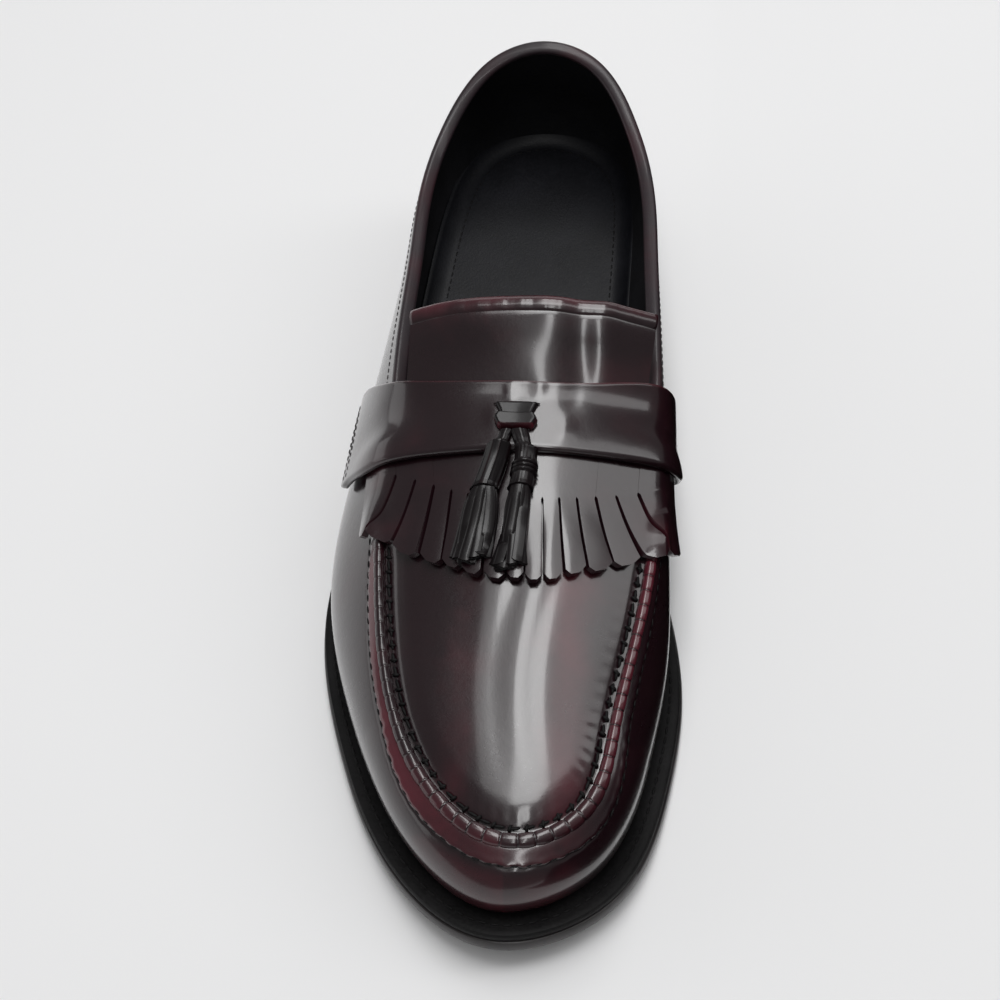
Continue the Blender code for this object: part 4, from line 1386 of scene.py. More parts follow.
@dataclass
class Upper(Assembly):
    """Walls, apron panel, its seam, the bound topline and the lining."""
    skin: float = 0.0012
    seam_start: float = 1.70
    band_side: float = 0.0050
    band_toe: float = 0.0072
    band_step: float = 0.0007
    bead_wide: float = 0.0044
    bead_arm: float = 0.0032
    bead_high: float = 0.0018
    pitch: float = 0.0046
    near_seam: float = 0.0075
    near_share: float = 0.3
    ring: Ring = field(init=False)

    def __post_init__(self) -> None:
        """Lay out the columns, closest around the apron's seam."""
        last = self.last
        self.ring = Ring(last, np.concatenate([
            np.linspace(0, 1, 36, endpoint=False),
            np.linspace(1, last.throat - 0.035, 30),
            np.linspace(last.throat, 2, 70, endpoint=False),
            np.linspace(2, 3, 96)]))

    def band_width(self) -> Array:
        """Width of the lapped band outside the seam, at each column."""
        ring = self.ring
        return (self.band_side + (self.band_toe - self.band_side)
                * smooth(ring.stations, 1.9, 2.6))

    def _grown(self) -> Array:
        """How far the seam's relief has grown at each column, 0 to 1."""
        return smooth(self.ring.stations, self.seam_start, self.seam_start + 0.1)

    def _face(self) -> Array:
        """Direction in which the wall's upper part looks, at each column."""
        return unit(self.ring.out + np.array([0, 0, 0.45]))

    def _pucker(self, run: Array, phase: float) -> Array:
        """Irregular wave of one pitch along the seam, from -1 to 1."""
        wander = 0.6 * np.sin(run / 0.013 + 1.0) + 0.4 * np.sin(run / 0.0047 + phase)
        return np.sin(2 * math.pi * run / self.pitch + phase + 0.5 * wander) * (
            0.75 + 0.25 * np.sin(run / 0.0081 + 2.0 + phase))

    def _wall_row(self, share: float) -> tuple[Array, dict[str, Array]]:
        """One row of the shell's wall.

        Args:
            share: 0 at the foot, 1 at the wall's upper end.

        Returns:
            The row's points and their marks.
        """
        ring, last = self.ring, self.last
        end = np.where(ring.front, 1.0,
                       ring.share_below_rim(last.binding_drop + 1.2 * last.gap))
        row = ring.at(share * end)
        away = np.linalg.norm(row - ring.rim, axis=1)
        run = ring.run()
        grown = self._grown()
        edge = self.band_width() + 0.00022 * self._pucker(run, 0.7)
        lap = 1 - smooth(away - edge, -0.0006, 0.0005)
        roll = 0.00022 * hump(away, edge - 0.0011, 0.0011)
        lift = (self.band_step * lap + roll * (1 + 0.3 * self._pucker(run, 0.7))
                - 0.0003 * hump(away, edge + 0.0004, 0.0006)
                - 0.0006 * hump(away, 0, 0.0016))
        row = row + self._face() * (lift * grown * ring.front)[:, None]
        left = ring.sides == OUTSIDE
        toe = smooth(ring.stations, 2.1, 2.9)
        band_rub = np.where(left, 0.75 - 0.15 * toe, 0.15 + 0.35 * toe) * lap * grown
        # Burgundy zone on the toe wall below the band: partly wear, partly a painted
        # reflection.
        wall_rub_and_painted_reflection = (1 - lap) * grown * np.where(left, 0.55 * toe, 0.42 * toe)
        wall_rub_and_painted_reflection *= smooth(away, 0.004, 0.012)
        return row, {"rub": (band_rub + wall_rub_and_painted_reflection) * ring.front}

    def _ripples(self, x: Array, y: Array) -> Array:
        """Shallow lengthwise waves where the apron is pulled over the last."""
        fade = smooth(y, -0.128, -0.085) * smooth(-y, 0.03, 0.05)
        bend = 0.004 * np.sin((y + 0.06) / 0.018)
        return fade * (0.00020 * hump(x - bend, 0.0135, 0.0030)
                       - 0.00022 * hump(x - bend, 0.0070, 0.0030)
                       + 0.00018 * hump(x - bend, 0.0215, 0.0035)
                       - 0.00018 * hump(x + 0.6 * bend, -0.0085, 0.0060))

    def _shell(self) -> tuple[Sheet, list[int]]:
        """The outer skin of walls and apron.

        Returns:
            The skin as one open sheet, and the points of its foot.
        """
        ring, last = self.ring, self.last
        sheet = Sheet()
        shares = np.concatenate([np.linspace(0, 0.60, 22, endpoint=False),
                                 np.linspace(0.60, 1.0, 42)])
        rows = []
        for share in shares:
            points, marks = self._wall_row(share)
            rows.append(sheet.row(points, **marks))
        sheet.stack(rows, closed=True)

        pick, pivots, out, radius = ring.apron()
        run, grown, share = ring.run()[pick], self._grown()[pick], self.near_share
        zone = np.minimum(self.near_seam, share * radius)
        inner = [[rows[-1][i] for i in pick]]
        for step in np.concatenate([np.linspace(0, share, 18)[1:],
                                    np.linspace(share, 1, 22)[1:]]):
            away = (np.minimum(step / share * self.near_seam, share * radius)
                    if step <= share
                    else zone + (step - share) / (1 - share) * (radius - zone))
            p = pivots + out * (radius - away)[:, None]
            sunk = (0.0011 * (1 - smooth(away, 0.0, 0.0100))
                    - 0.00003 * self._pucker(run, 2.1) * hump(away, 0.0060, 0.0016)
                    + 0.0005 * hump(away, 0.0027, 0.0012))
            z = (last.vamp_height(p[:, 0], p[:, 1]) + self._ripples(p[:, 0], p[:, 1])
                 - grown * sunk)
            rub = (0.14 + 0.28 * hump(p[:, 0], -0.006, 0.008)
                   + 0.50 * hump(p[:, 0], 0.023, 0.008))
            inner.append(sheet.row(np.c_[p, z], rub=rub))
        sheet.stack(inner)
        return sheet, rows[0]

    def build(self) -> None:
        """Build the upper."""
        ring, bench = self.ring, self.bench
        shell, foot = self._shell()
        outer = np.array(shell.points)
        under = outer - shell.normals() * self.skin
        under[foot] = outer[foot] - ring.out * 1.1 * self.skin
        bench.piece("upper_shell", shell.thicken(under), self.finishes.upper,
                    ["upper"])
        self._lining()
        self._bead()
        self._binding()
        self._stitches()

    def _lining(self) -> None:
        """The lining inside the shell."""
        last = self.last
        ring = Ring(last, np.concatenate([
            np.linspace(0, 1, 24, endpoint=False),
            np.linspace(1, last.throat - 0.035, 20),
            np.linspace(last.throat, 2, 20, endpoint=False), np.linspace(2, 3, 30)]))
        end = np.where(ring.front, 1.0,
                       ring.share_below_rim(last.binding_drop + 0.5 * last.gap))
        sheet = Sheet()
        rows = [sheet.row(ring.at(share * end)) for share in np.linspace(0, 1, 26)]
        sheet.stack(rows, closed=True)
        pick, pivots, out, radius = ring.apron()
        inner = [[rows[-1][i] for i in pick]]
        for share in (0.92, 0.8, 0.62, 0.42, 0.2, 0.0):
            p = pivots + out * (radius * share)[:, None]
            inner.append(sheet.row(np.c_[p, last.vamp_height(p[:, 0], p[:, 1]) - 0.0004]))
        sheet.stack(inner)
        normals = sheet.normals()
        outer, foot = np.array(sheet.points), rows[0]
        face = outer - normals * (self.skin + 0.0005)
        back = outer - normals * last.wall
        face[foot] = outer[foot] - ring.out * (self.skin + 0.0006)
        back[foot] = outer[foot] - ring.out * 1.1 * last.wall
        sheet.points = [tuple(p) for p in face]
        self.bench.piece("lining", sheet.thicken(back), self.finishes.lining,
                         slot=Slot.LINING)

    def _seam_path(self) -> tuple[Array, Array, Array]:
        """The line of the apron's seam.

        Returns:
            Rim points, outward and upward unit directions.
        """
        ring = self.ring
        pick = np.where(ring.stations >= self.seam_start)[0]
        rim, along = ring.rim[pick], ring.along()[pick]
        up = unit(ring.out[pick] * 0.42 + np.array([0, 0, 0.9]))
        out = unit(np.cross(along, up))
        return rim, out, unit(np.cross(out, along))

    def _bead(self) -> None:
        """The raised seam: a bead pinched by each turn of the thread."""
        rim, _, up = self._seam_path()
        step = self.pitch / 16
        points, along, ups = Path(rim, up).spaced(step)
        outs = unit(np.cross(along, ups))
        run = np.arange(len(points)) * step
        phase = (run / self.pitch) % 1.0
        gap = np.minimum(phase, 1 - phase) * self.pitch
        pinch = hump(gap, 0, 0.00020)
        belly = 0.06 * np.sin(math.pi * phase)
        odd = 0.03 * np.sin(run / 0.0053) + 0.02 * np.sin(run / 0.0021)
        fade = smooth(run, 0.0, 0.01) * smooth(run[-1] - run, 0.0, 0.01)
        c, s = circle(22)
        left = points[:, 0] < 0.008
        toe = smooth(-points[:, 1], 0.09, 0.13)
        rings, ring_rub_and_light = [], []
        for i, (p, o, u) in enumerate(zip(points, outs, ups)):
            half = (self.bead_arm + (self.bead_wide - self.bead_arm) * toe[i]) / 2
            half *= 0.96 + belly[i] + odd[i] - 0.07 * pinch[i]
            high = self.bead_high * (0.90 + 0.8 * belly[i] + odd[i] - 0.16 * pinch[i])
            tall = np.where(s > 0, high * fade[i] + 0.0003, 0.0007)
            rings.append(p + o * 0.0004 - u * 0.0002
                         + np.outer(half * squared(c, 0.85), o)
                         + np.outer(tall * squared(s, 0.9), u))
            # On the right arm the strong burgundy is a painted reflection of the broad
            # light there; on the left arm and the toe it is wear. The colour is darker at
            # each pinch and, on the left arm, lighter on the outer flank.
            side = 0.10 + 0.50 * toe[i] if left[i] else 0.85 - 0.45 * toe[i]
            ring_rub_and_light.append(side * (1 - 0.8 * pinch[i]) + 0.15 * c * (1 if left[i] else 0))
        self.bench.piece("apron_bead", loft(rings, True, rub=ring_rub_and_light),
                         self.finishes.bead)
        turns = Path(points + ups * (self.bead_high * 0.80 * fade)[:, None]
                     + outs * 0.0004, ups)
        StitchRow("apron_thread_turns", 0.0024, 0.00018, 0.00034, math.pi / 2).sew(
            self.bench, [turns], self.pitch, -0.0002, self.finishes.thread)

    def _binding(self) -> None:
        """The bead bound over the topline."""
        ring, last = self.ring, self.last
        order = ring.rear_order(last.throat - 0.05)
        rim, upward = ring.rim[order], ring.upward()[order]
        along = unit(np.gradient(rim, axis=0))
        across = unit(np.cross(along, upward))
        upward = np.cross(across, along)
        if (across[0] * (rim[0] - rim.mean(0))).sum() < 0:
            across = -across
        c, s = circle(24)
        half_wide, half_high = 0.00225, last.binding_drop / 2
        rings = [p - n * 0.0014 - u * (half_high - 0.0001)
                 + np.outer(half_wide * squared(c, 0.78), n)
                 + np.outer(half_high * squared(s, 0.78), u)
                 for p, n, u in zip(rim, across, upward)]
        rub = np.full((len(rings), len(c)), 0.30)
        self.bench.piece("topline_binding_dressed", loft(rings, True, rub=rub),
                         self.finishes.binding, ["topline_binding"])

    def _stitches(self) -> None:
        """Stitch rows in the seam's groove, on the band's edge and the quarters."""
        ring, bench, thread = self.ring, self.bench, self.finishes.thread
        rim, out, up = self._seam_path()
        pick = ring.stations >= self.seam_start
        back = 0.0023 + 0.0006 * smooth(-rim[:, 1], 0.09, 0.13)
        for name, size, turned, pitch in (
                ("apron_whip_loops", (0.0023, 0.0012, 0.0012), 1.25, self.pitch),
                ("apron_whip_runs", (0.0036, 0.0010, 0.0008), 0.10, 0.9 * self.pitch)):
            groove = Path(rim - out * back[:, None] - up * 0.0009, unit(up - out * 0.2))
            StitchRow(name, *size, turned).sew(
                bench, [groove], pitch, 0.0, self.finishes.welt)
        drop = self.band_width()
        edge = ring.at(ring.share_below_rim(drop))
        face = self._face()
        lower = Path((edge + face * (self.band_step * 0.9))[pick], face[pick])
        StitchRow("apron_band_stitches", 0.0024, 0.0006, 0.0006, 0.12).sew(
            bench, [lower], 0.0036, 0.0, self.finishes.welt)
        order = ring.rear_order(self.last.throat)
        low = ring.at(ring.share_below_rim(0.0088))
        lower = ring.at(ring.share_below_rim(0.0100))
        normal = unit(np.cross(ring.along(), unit(low - lower)))
        quarter = Path(low[order], normal[order])
        StitchRow("quarter_stitches", 0.0019, 0.00045, 0.0004).sew(
            bench, [quarter], 0.0026, 0.00003, thread)


class TonguePoint(NamedTuple):
    """A section of the tongue: its side edges, ridge height and arch."""
    y: float
    left: float
    right: float
    ridge: float
    arch: float


TONGUE = (
    TonguePoint(-0.0112, -0.0300, 0.0415, 0.0698, 0.0078),
    TonguePoint(-0.0020, -0.0300, 0.0418, 0.0740, 0.0078),
    TonguePoint(0.0080, -0.0296, 0.0428, 0.0808, 0.0076),
    TonguePoint(0.0172, -0.0292, 0.0440, 0.0874, 0.0074),
)


@dataclass
class Tongue(Assembly):
    """The tongue and its rolled edge."""
    thick: float = 0.0022
    roll: float = 0.0018
    columns: int = 81
    rows: int = 26

    def _section(self, y: float) -> Array:
        """The tongue's line across the shoe at y.

        Args:
            y: place along the shoe.

        Returns:
            Its points, left to right.
        """
        ys = column_of(TONGUE, "y")
        u = np.linspace(-1, 1, self.columns)
        left, right, ridge, arch = (eased(ys, column_of(TONGUE, name), y)
                                    for name in ("left", "right", "ridge", "arch"))
        x = left + (right - left) * (u + 1) / 2
        wave = (0.00014 * np.sin(x / 0.0055 + y / 0.004)
                - 0.00075 * hump(x, 0.0215, 0.0050) + 0.00055 * hump(x, 0.0300, 0.0045))
        return np.c_[x, np.full(len(u), y), ridge - arch * np.abs(u)**2.2 + wave]

    def build(self) -> None:
        """Build the tongue."""
        ys = np.linspace(TONGUE[0].y, TONGUE[-1].y, self.rows)
        sheet = Sheet()
        rows = [sheet.row(self._section(y), rub=np.full(self.columns, 0.2)) for y in ys]
        sheet.stack(rows)
        under = np.array(sheet.points) - sheet.normals() * self.thick
        self.bench.piece("tongue_dressed", sheet.thicken(under), self.finishes.saddle,
                         ["tongue"], creased=True)
        edge = self._section(ys[-1])
        slope = unit(edge - self._section(ys[-2]))
        up = unit(np.cross(unit(np.gradient(edge, axis=0)), slope))
        c, s = circle(22)
        rings = []
        for i, (p, back, n) in enumerate(zip(edge, slope, up)):
            swell = 1 + 0.03 * math.sin(i * 0.9) + 0.02 * math.sin(i * 2.3)
            mid = p + back * (self.roll * 0.35 + self.last.gap) - n * 0.0009
            rings.append(mid + np.outer(1.6 * self.roll * c, back)
                         + np.outer(1.15 * self.roll * swell * s, n))
        rub = np.tile(0.42 + 0.25 * c, (len(rings), 1))
        self.bench.piece("tongue_roll", loft(rings, True, rub=rub),
                         self.finishes.bead, ["tongue_binding"])


class Ground:
    """Finds the surface of finished pieces by casting rays at them."""

    def __init__(self, bench: Workbench, names: Iterable[str]) -> None:
        """Take the named pieces' meshes back to the last's own frame.

        Args:
            bench: where the pieces are.
            names: the pieces.
        """
        self.trees = []
        for name in names:
            bm = bmesh.new()
            bm.from_mesh(bench.objects[name].data)
            bm.transform(bench.move.inverted())
            self.trees.append(BVHTree.FromBMesh(bm))
            bm.free()

    def first(self, start: Sequence[float], direction: Sequence[float]) -> float:
        """Distance to the first hit of a ray, or infinity."""
        hits = (tree.ray_cast(Vector(start), Vector(direction)) for tree in self.trees)
        return min((h[3] for h in hits if h[3] is not None), default=math.inf)

    def top(self, x: float, y: float) -> float:
        """Height of the highest piece at a place, 0 where there is none."""
        return max(0.2 - self.first((x, y, 0.2), (0, 0, -1)), 0.0)

    def bed(self, x: float, y: float, half_wide: float, half_high: float) -> float:
        """Lowest middle height of a level ellipse clear of everything beneath."""
        best = 0.0
        for dx in np.linspace(-0.95, 0.95, 7):
            under = half_high * math.sqrt(1 - dx * dx)
            best = max(best, self.top(x + dx * half_wide, y) + under)
        return best


class Drape:
    """Lays a band over pieces: the furthest hit from an axis, bridged and eased.

    Angles are degrees from the top about a line through the shoe, seen in planes
    of constant y.
    """
    height = 0.030
    turn = 1.5
    step = 0.0010
    angles = np.arange(-96.0, 97.0, turn)
    places = np.arange(-0.070, 0.030, step)

    def __init__(self, last: Last, ground: Ground, bridge: int = 4, spare: int = 0,
                 rounds: int = 3, taut: bool = False) -> None:
        """Cast the field of radii and bridge its hollows.

        Args:
            last: the last.
            ground: the pieces beneath.
            bridge: steps over which hollows are closed.
            spare: steps by which the bridged field stays wider.
            rounds: passes of averaging that may only raise it.
            taut: whether each section is pulled straight over its hollows.
        """
        self.last, self.ground = last, ground
        hit = np.array([[self._far(a, y) for y in self.places] for a in self.angles])
        for _ in range(bridge):
            hit = self._edge(hit, np.max)
        for _ in range(bridge - spare):
            hit = self._edge(hit, np.min)
        if taut:
            hit = np.stack([self._hull(column) for column in hit.T], 1)
        self.field = hit
        for _ in range(rounds):
            self.field = np.maximum(self._average(self.field), hit)
        for _ in range(9 if taut else 1):
            self.field = self._average(self.field)

    def axis(self, y: Values) -> Values:
        """The axis point level with y."""
        heel, toe = self.last.heel_pivot, self.last.toe_pivot
        return heel[0] + (heel[1] - y) / (heel[1] - toe[1]) * (toe[0] - heel[0])

    def _far(self, angle: float, y: float) -> float:
        """Radius of the outermost surface.

        Args:
            angle: degrees from the top.
            y: the section's place.

        Returns:
            The radius, 0 where nothing is hit.
        """
        a = math.radians(angle)
        out = np.array([math.sin(a), 0, math.cos(a)])
        start = np.array([self.axis(y), y, self.height]) + out * 0.2
        return max(0.2 - self.ground.first(start, -out), 0.0)

    def _hull(self, radii: Array) -> Array:
        """Radii of the taut line around one section.

        Args:
            radii: the section's radii, one for each angle.

        Returns:
            Radii that are nowhere smaller.
        """
        a = np.radians(self.angles)
        points = np.c_[radii * np.sin(a), radii * np.cos(a)]
        hull = [0]
        for i in range(1, len(points)):
            while len(hull) > 1:
                p, q = points[hull[-2]], points[hull[-1]]
                turn = ((q[0] - p[0]) * (points[i, 1] - p[1])
                        - (q[1] - p[1]) * (points[i, 0] - p[0]))
                if turn < 0:
                    break
                hull.pop()
            hull.append(i)
        taut = radii.copy()
        for i, j in zip(hull, hull[1:]):
            p, q = points[i], points[j]
            cross = p[0] * q[1] - p[1] * q[0]
            for k in range(i + 1, j):
                u = np.array([math.sin(a[k]), math.cos(a[k])])
                d = q - p
                taut[k] = cross / (u[0] * d[1] - u[1] * d[0])
        return np.maximum(taut, radii)

    @staticmethod
    def _edge(grid: Array, pick: Callable) -> Array:
        """Largest or smallest value of each place and its neighbours."""
        wide = np.pad(grid, 1, mode="edge")
        return pick([wide[1 + i:1 + i + grid.shape[0], 1 + j:1 + j + grid.shape[1]]
                     for i in (-1, 0, 1) for j in (-1, 0, 1)], axis=0)

    @staticmethod
    def _average(grid: Array) -> Array:
        """Weighted mean of each place and its neighbours."""
        wide = np.pad(grid, 1, mode="edge")
        rows = (wide[:-2] + 2 * wide[1:-1] + wide[2:]) / 4
        return (rows[:, :-2] + 2 * rows[:, 1:-1] + rows[:, 2:]) / 4

    def points(self, angle: Array, y: Array, above: Array) -> Array:
        """Points this far above the draped surface.

        Args:
            angle: degrees from the top.
            y: places along the shoe.
            above: metres above the surface.

        Returns:
            One point for each angle and place.
        """
        i = np.clip((angle - self.angles[0]) / self.turn, 0, len(self.angles) - 1.001)
        j = np.clip((y - self.places[0]) / self.step, 0, len(self.places) - 1.001)
        i0, j0 = i.astype(int), j.astype(int)
        fi, fj = i - i0, j - j0
        f = self.field
        r = ((1 - fi) * ((1 - fj) * f[i0, j0] + fj * f[i0, j0 + 1])
             + fi * ((1 - fj) * f[i0 + 1, j0] + fj * f[i0 + 1, j0 + 1])) + above
        a = np.radians(angle)
        return np.stack([self.axis(y) + r * np.sin(a), y, self.height + r * np.cos(a)], 1)


class BandEdge(NamedTuple):
    """Front and rear edge of the strap, by angle from the top.

    angle: degrees, outside negative; front, rear: y in metres.
    """
    angle: float
    front: float
    rear: float


STRAP_EDGES = (
    BandEdge(-84.0, -0.0150, 0.0200),
    BandEdge(-64.0, -0.0210, 0.0130),
    BandEdge(-46.0, -0.0235, 0.0030),
    BandEdge(-25.0, -0.0245, -0.0020),
    BandEdge(0.0, -0.0245, -0.0030),
    BandEdge(25.0, -0.0245, -0.0020),
    BandEdge(46.0, -0.0235, 0.0030),
    BandEdge(64.0, -0.0190, 0.0120),
    BandEdge(76.0, -0.0140, 0.0200),
)


class FringeEdge(NamedTuple):
    """Where the fringe's slits start and its strips end, by share across.

    across: -1 outside edge to 1 inside edge; slit, end: y in metres.
    """
    across: float
    slit: float
    end: float


FRINGE_EDGES = (
    FringeEdge(-1.00, -0.0225, -0.0415),
    FringeEdge(-0.80, -0.0255, -0.0490),
    FringeEdge(-0.65, -0.0295, -0.0540),
    FringeEdge(-0.45, -0.0340, -0.0580),
    FringeEdge(0.00, -0.0370, -0.0615),
    FringeEdge(0.35, -0.0360, -0.0595),
    FringeEdge(0.60, -0.0330, -0.0545),
    FringeEdge(0.80, -0.0280, -0.0480),
    FringeEdge(1.00, -0.0230, -0.0400),
)


class Pull(NamedTuple):
    """A soft swelling of the strap where the tab pulls at it.

    angle, across: its middle and half width in degrees; y, along: the same
    lengthwise in metres; high: its height, negative for a hollow.
    """
    angle: float
    y: float
    high: float
    across: float
    along: float


STRAP_PULLS = (
    Pull(-4.0, -0.0065, 0.00030, 2.0, 0.0030),
    Pull(6.5, -0.0050, 0.00030, 2.2, 0.0032),
    Pull(17.0, -0.0175, 0.00030, 3.6, 0.0040),
    Pull(19.0, -0.0060, -0.00030, 4.0, 0.0060),
    Pull(-10.0, -0.0150, 0.00035, 3.0, 0.0040),
)


@dataclass
class Saddle(Assembly):
    """The fringed flap, the strap over it and the tassels' tab."""
    strap_thick: float = 0.0020
    fringe_thick: float = 0.0017
    ease: float = 0.0004
    strips: int = 15
    slit: float = 0.0009
    half_spread: float = 0.055
    gather: float = 0.80
    strip_lift: float = 0.0006
    strip_crown: float = 0.0003
    end_cut: float = 0.0018
    rear: float = -0.0145
    rear_angle: float = 64.0
    end_angle: float = 82.0
    tab_side: float = 1.4
    tab_rear: float = -0.0195
    tab_long: float = 0.0087
    radius: float = 0.045
    corner: float = 0.0035
    edge_round: float = 0.0011

    def build(self) -> None:
        """Build fringe, strap and tab, each draped over what is beneath."""
        self._fringe()
        self._strap()
        self._tab()

    def _fringe_place(self, u: float, row: float, back: float) -> tuple[float, float]:
        """Angle and y of a point of the fringe.

        Args:
            u: share across; -1 is the outside edge.
            row: 0 at the rear edge, 1 at the slits' start, 2 at the end.
            back: how far the end is cut back here.

        Returns:
            The angle in degrees and y.
        """
        across = column_of(FRINGE_EDGES, "across")
        slit = eased(across, column_of(FRINGE_EDGES, "slit"), u)
        end = eased(across, column_of(FRINGE_EDGES, "end"), u)
        far = end + back
        y = (self.rear + (slit - self.rear) * row if row <= 1
             else slit + (far - slit) * (row - 1))
        k = (y - self.rear) / (end - self.rear)
        spread = self.end_angle - (14.0 if u < 0 else 7.0) - self.rear_angle
        return u * (self.rear_angle + spread * k), float(y)

    @staticmethod
    def _lean(across: float, free: float) -> float:
        """How far a slit leans outwards of its even place, in shares across.

        Args:
            across: the slit's even place, -1 to 1.
            free: 0 at the slits' start, 1 at the strips' ends.

        Returns:
            The share to add.
        """
        outward = -0.078 * smooth(-across, 0.0, 0.3)
        outward *= 1 - 0.6 * smooth(-across, 0.75, 0.95) * free
        return float(outward - 0.05 * smooth(across, 0.75, 0.95) * free)

    def _fringe(self) -> None:
        """The flap with its strips, chamfered at their ends."""
        drape = Drape(self.last, Ground(self.bench, ["upper_shell", "apron_bead"]))
        rows = np.concatenate([
            np.linspace(0, 1, 14, endpoint=False), np.linspace(1, 1.04, 3),
            np.linspace(1.08, 1.96, 20), [2.0]])
        bounds = np.linspace(-1, 1, self.strips + 1)
        half_slit = self.slit / self.half_spread / 2
        sheet = Sheet()
        previous: list[int] = []
        across = np.array([-1.0, -0.9, -0.72, -0.4, 0.0, 0.4, 0.72, 0.9, 1.0])
        for k, (a, b) in enumerate(zip(bounds, bounds[1:])):
            lines = []
            for row in rows:
                open_slit = min(max((row - 1.0) / 0.03, 0.0), 1.0)
                free = max(row - 1, 0.0)
                left, right = (
                    e * (self.gather + (1 - self.gather) * free) + self._lean(e, free)
                    + s * half_slit * open_slit if abs(e) < 1 else e
                    for e, s in ((a, 1), (b, -1)))
                lift = self.ease + (self.strip_lift + 0.0004 * (k % 3)) * free**1.5
                spots = []
                for f in across:
                    cut = self.end_cut * max(0.0, (abs(f) - 0.45) / 0.55) - 0.0006
                    cut = (cut + 0.0004 * math.sin(2.1 * k)) * smooth(free, 0.3, 1.0)
                    spots.append(self._fringe_place(
                        left + (right - left) * (f + 1) / 2, row, cut))
                angle, y = np.array(spots).T
                crown = (self.strip_crown * (1 - across**2) * free
                         + 0.00006 * math.sin(3.7 * k + row))
                low = self.last.gap + lift
                thick = self.fringe_thick * (0.35 if row == 0 else 1.0)
                top = drape.points(angle, y, low + crown + thick)
                rub = np.full(len(across), 0.25 if k in (0, self.strips - 1) else 0.12)
                rub[np.abs(across) > 0.95] += 0.08 * min(free * 4, 1)
                lines.append(sheet.pair(top, drape.points(angle, y, low), rub=rub))
            for low_line, high_line in zip(lines, lines[1:]):
                sheet.span(high_line, low_line)
            edge = [line[0] for line, row in zip(lines, rows) if row <= 1]
            if previous and edge != previous:
                sheet.span(previous, edge)
            previous = [line[-1] for line, row in zip(lines, rows) if row <= 1]
        self.bench.piece("kiltie_fringe_dressed", sheet.thicken(), self.finishes.saddle,
                         ["kiltie_fringe"], bevel=0.0003, creased=True)

    def _strap(self) -> None:
        """The saddle strap, with turned edges and rounded corners."""
        drape = Drape(self.last, Ground(self.bench, [
            "upper_shell", "topline_binding_dressed", "tongue_dressed",
            "kiltie_fringe_dressed"]), spare=1, rounds=60, taut=True)
        angles = column_of(STRAP_EDGES, "angle")
        ends = np.degrees(np.array([0, 0.0001, 0.0004, 0.0009, 0.0016, 0.0024, 0.0034])
                          / self.radius)
        inner = np.linspace(angles[0] + ends[-1], angles[-1] - ends[-1], 130)[1:-1]
        columns = np.concatenate([angles[0] + ends, inner, (angles[-1] - ends)[::-1]])
        from_end = np.radians(np.minimum(columns - angles[0], angles[-1] - columns)
                              ) * self.radius
        corner = self.corner
        pulled = corner - np.sqrt(corner**2 - np.clip(corner - from_end, 0, corner)**2)
        front = eased(angles, column_of(STRAP_EDGES, "front"), columns) + 0.9 * pulled
        rear = eased(angles, column_of(STRAP_EDGES, "rear"), columns) - 0.9 * pulled
        near = np.array([0, 0.0001, 0.0003, 0.0006, 0.0010, 0.0015, 0.0022])
        sheet, rows = Sheet(), []
        wide = rear - front
        steps = ([("front", d) for d in near]
                 + [("share", s) for s in np.linspace(0, 1, 26)[1:-1]]
                 + [("rear", d) for d in near[::-1]])
        low = np.full(len(columns), self.last.gap + self.ease)
        for kind, value in steps:
            y = (front + value if kind == "front" else rear - value if kind == "rear"
                 else front + near[-1] + (wide - 2 * near[-1]) * value)
            away = np.minimum(np.minimum(y - front, rear - y), from_end)
            trim = 0.45 + 0.55 * rounded(away, self.edge_round)
            wave = 0.00010 * np.sin(columns / 9.0 + y / 0.006)
            for pull in STRAP_PULLS:
                wave = wave + (pull.high * hump(columns, pull.angle, pull.across)
                               * hump(y, pull.y, pull.along))
            wave = wave * np.clip(away / self.edge_round, 0, 1)
            rub = 0.10 + 0.6 * hump(y, rear, 0.0009) + 0.5 * hump(from_end, 0, 0.0012)
            rows.append(sheet.pair(
                drape.points(columns, y, low + self.strap_thick * trim + wave),
                drape.points(columns, y, low), rub=rub))
        sheet.stack(rows)
        self.bench.piece("saddle_strap_dressed", sheet.thicken(), self.finishes.saddle,
                         ["saddle_strap"])
        self._strap_stitches(drape, angles)

    def _strap_stitches(self, drape: Drape, angles: Array) -> None:
        """Two rows of stitches along each end of the strap.

        Args:
            drape: the strap's bed.
            angles: the angles of STRAP_EDGES.
        """
        paths, inset_ends = [], 0.0022
        for end, inward in ((angles[0], 1), (angles[-1], -1)):
            for back in (0.0024, 0.0046):
                a = end + inward * math.degrees(back / self.radius)
                front, rear = (float(eased(angles, column_of(STRAP_EDGES, name), a))
                               for name in ("front", "rear"))
                y = np.linspace(front + inset_ends, rear - inset_ends, 40)
                high = np.full(len(y), self.last.gap + self.ease + self.strap_thick
                               + 0.00005)
                column = np.full(len(y), a)
                points = drape.points(column, y, high)
                beside = drape.points(column + 1.0, y, high)
                paths.append(Path(points, unit(np.cross(np.gradient(points, axis=0),
                                                        points - beside))))
        for path in paths:
            if (path.normals @ np.array([0, 0, 1])).mean() < 0:
                path.normals = -path.normals
        StitchRow("strap_stitches", 0.0019, 0.0005, 0.00045).sew(
            self.bench, paths, 0.0027, 0.0, self.finishes.thread)

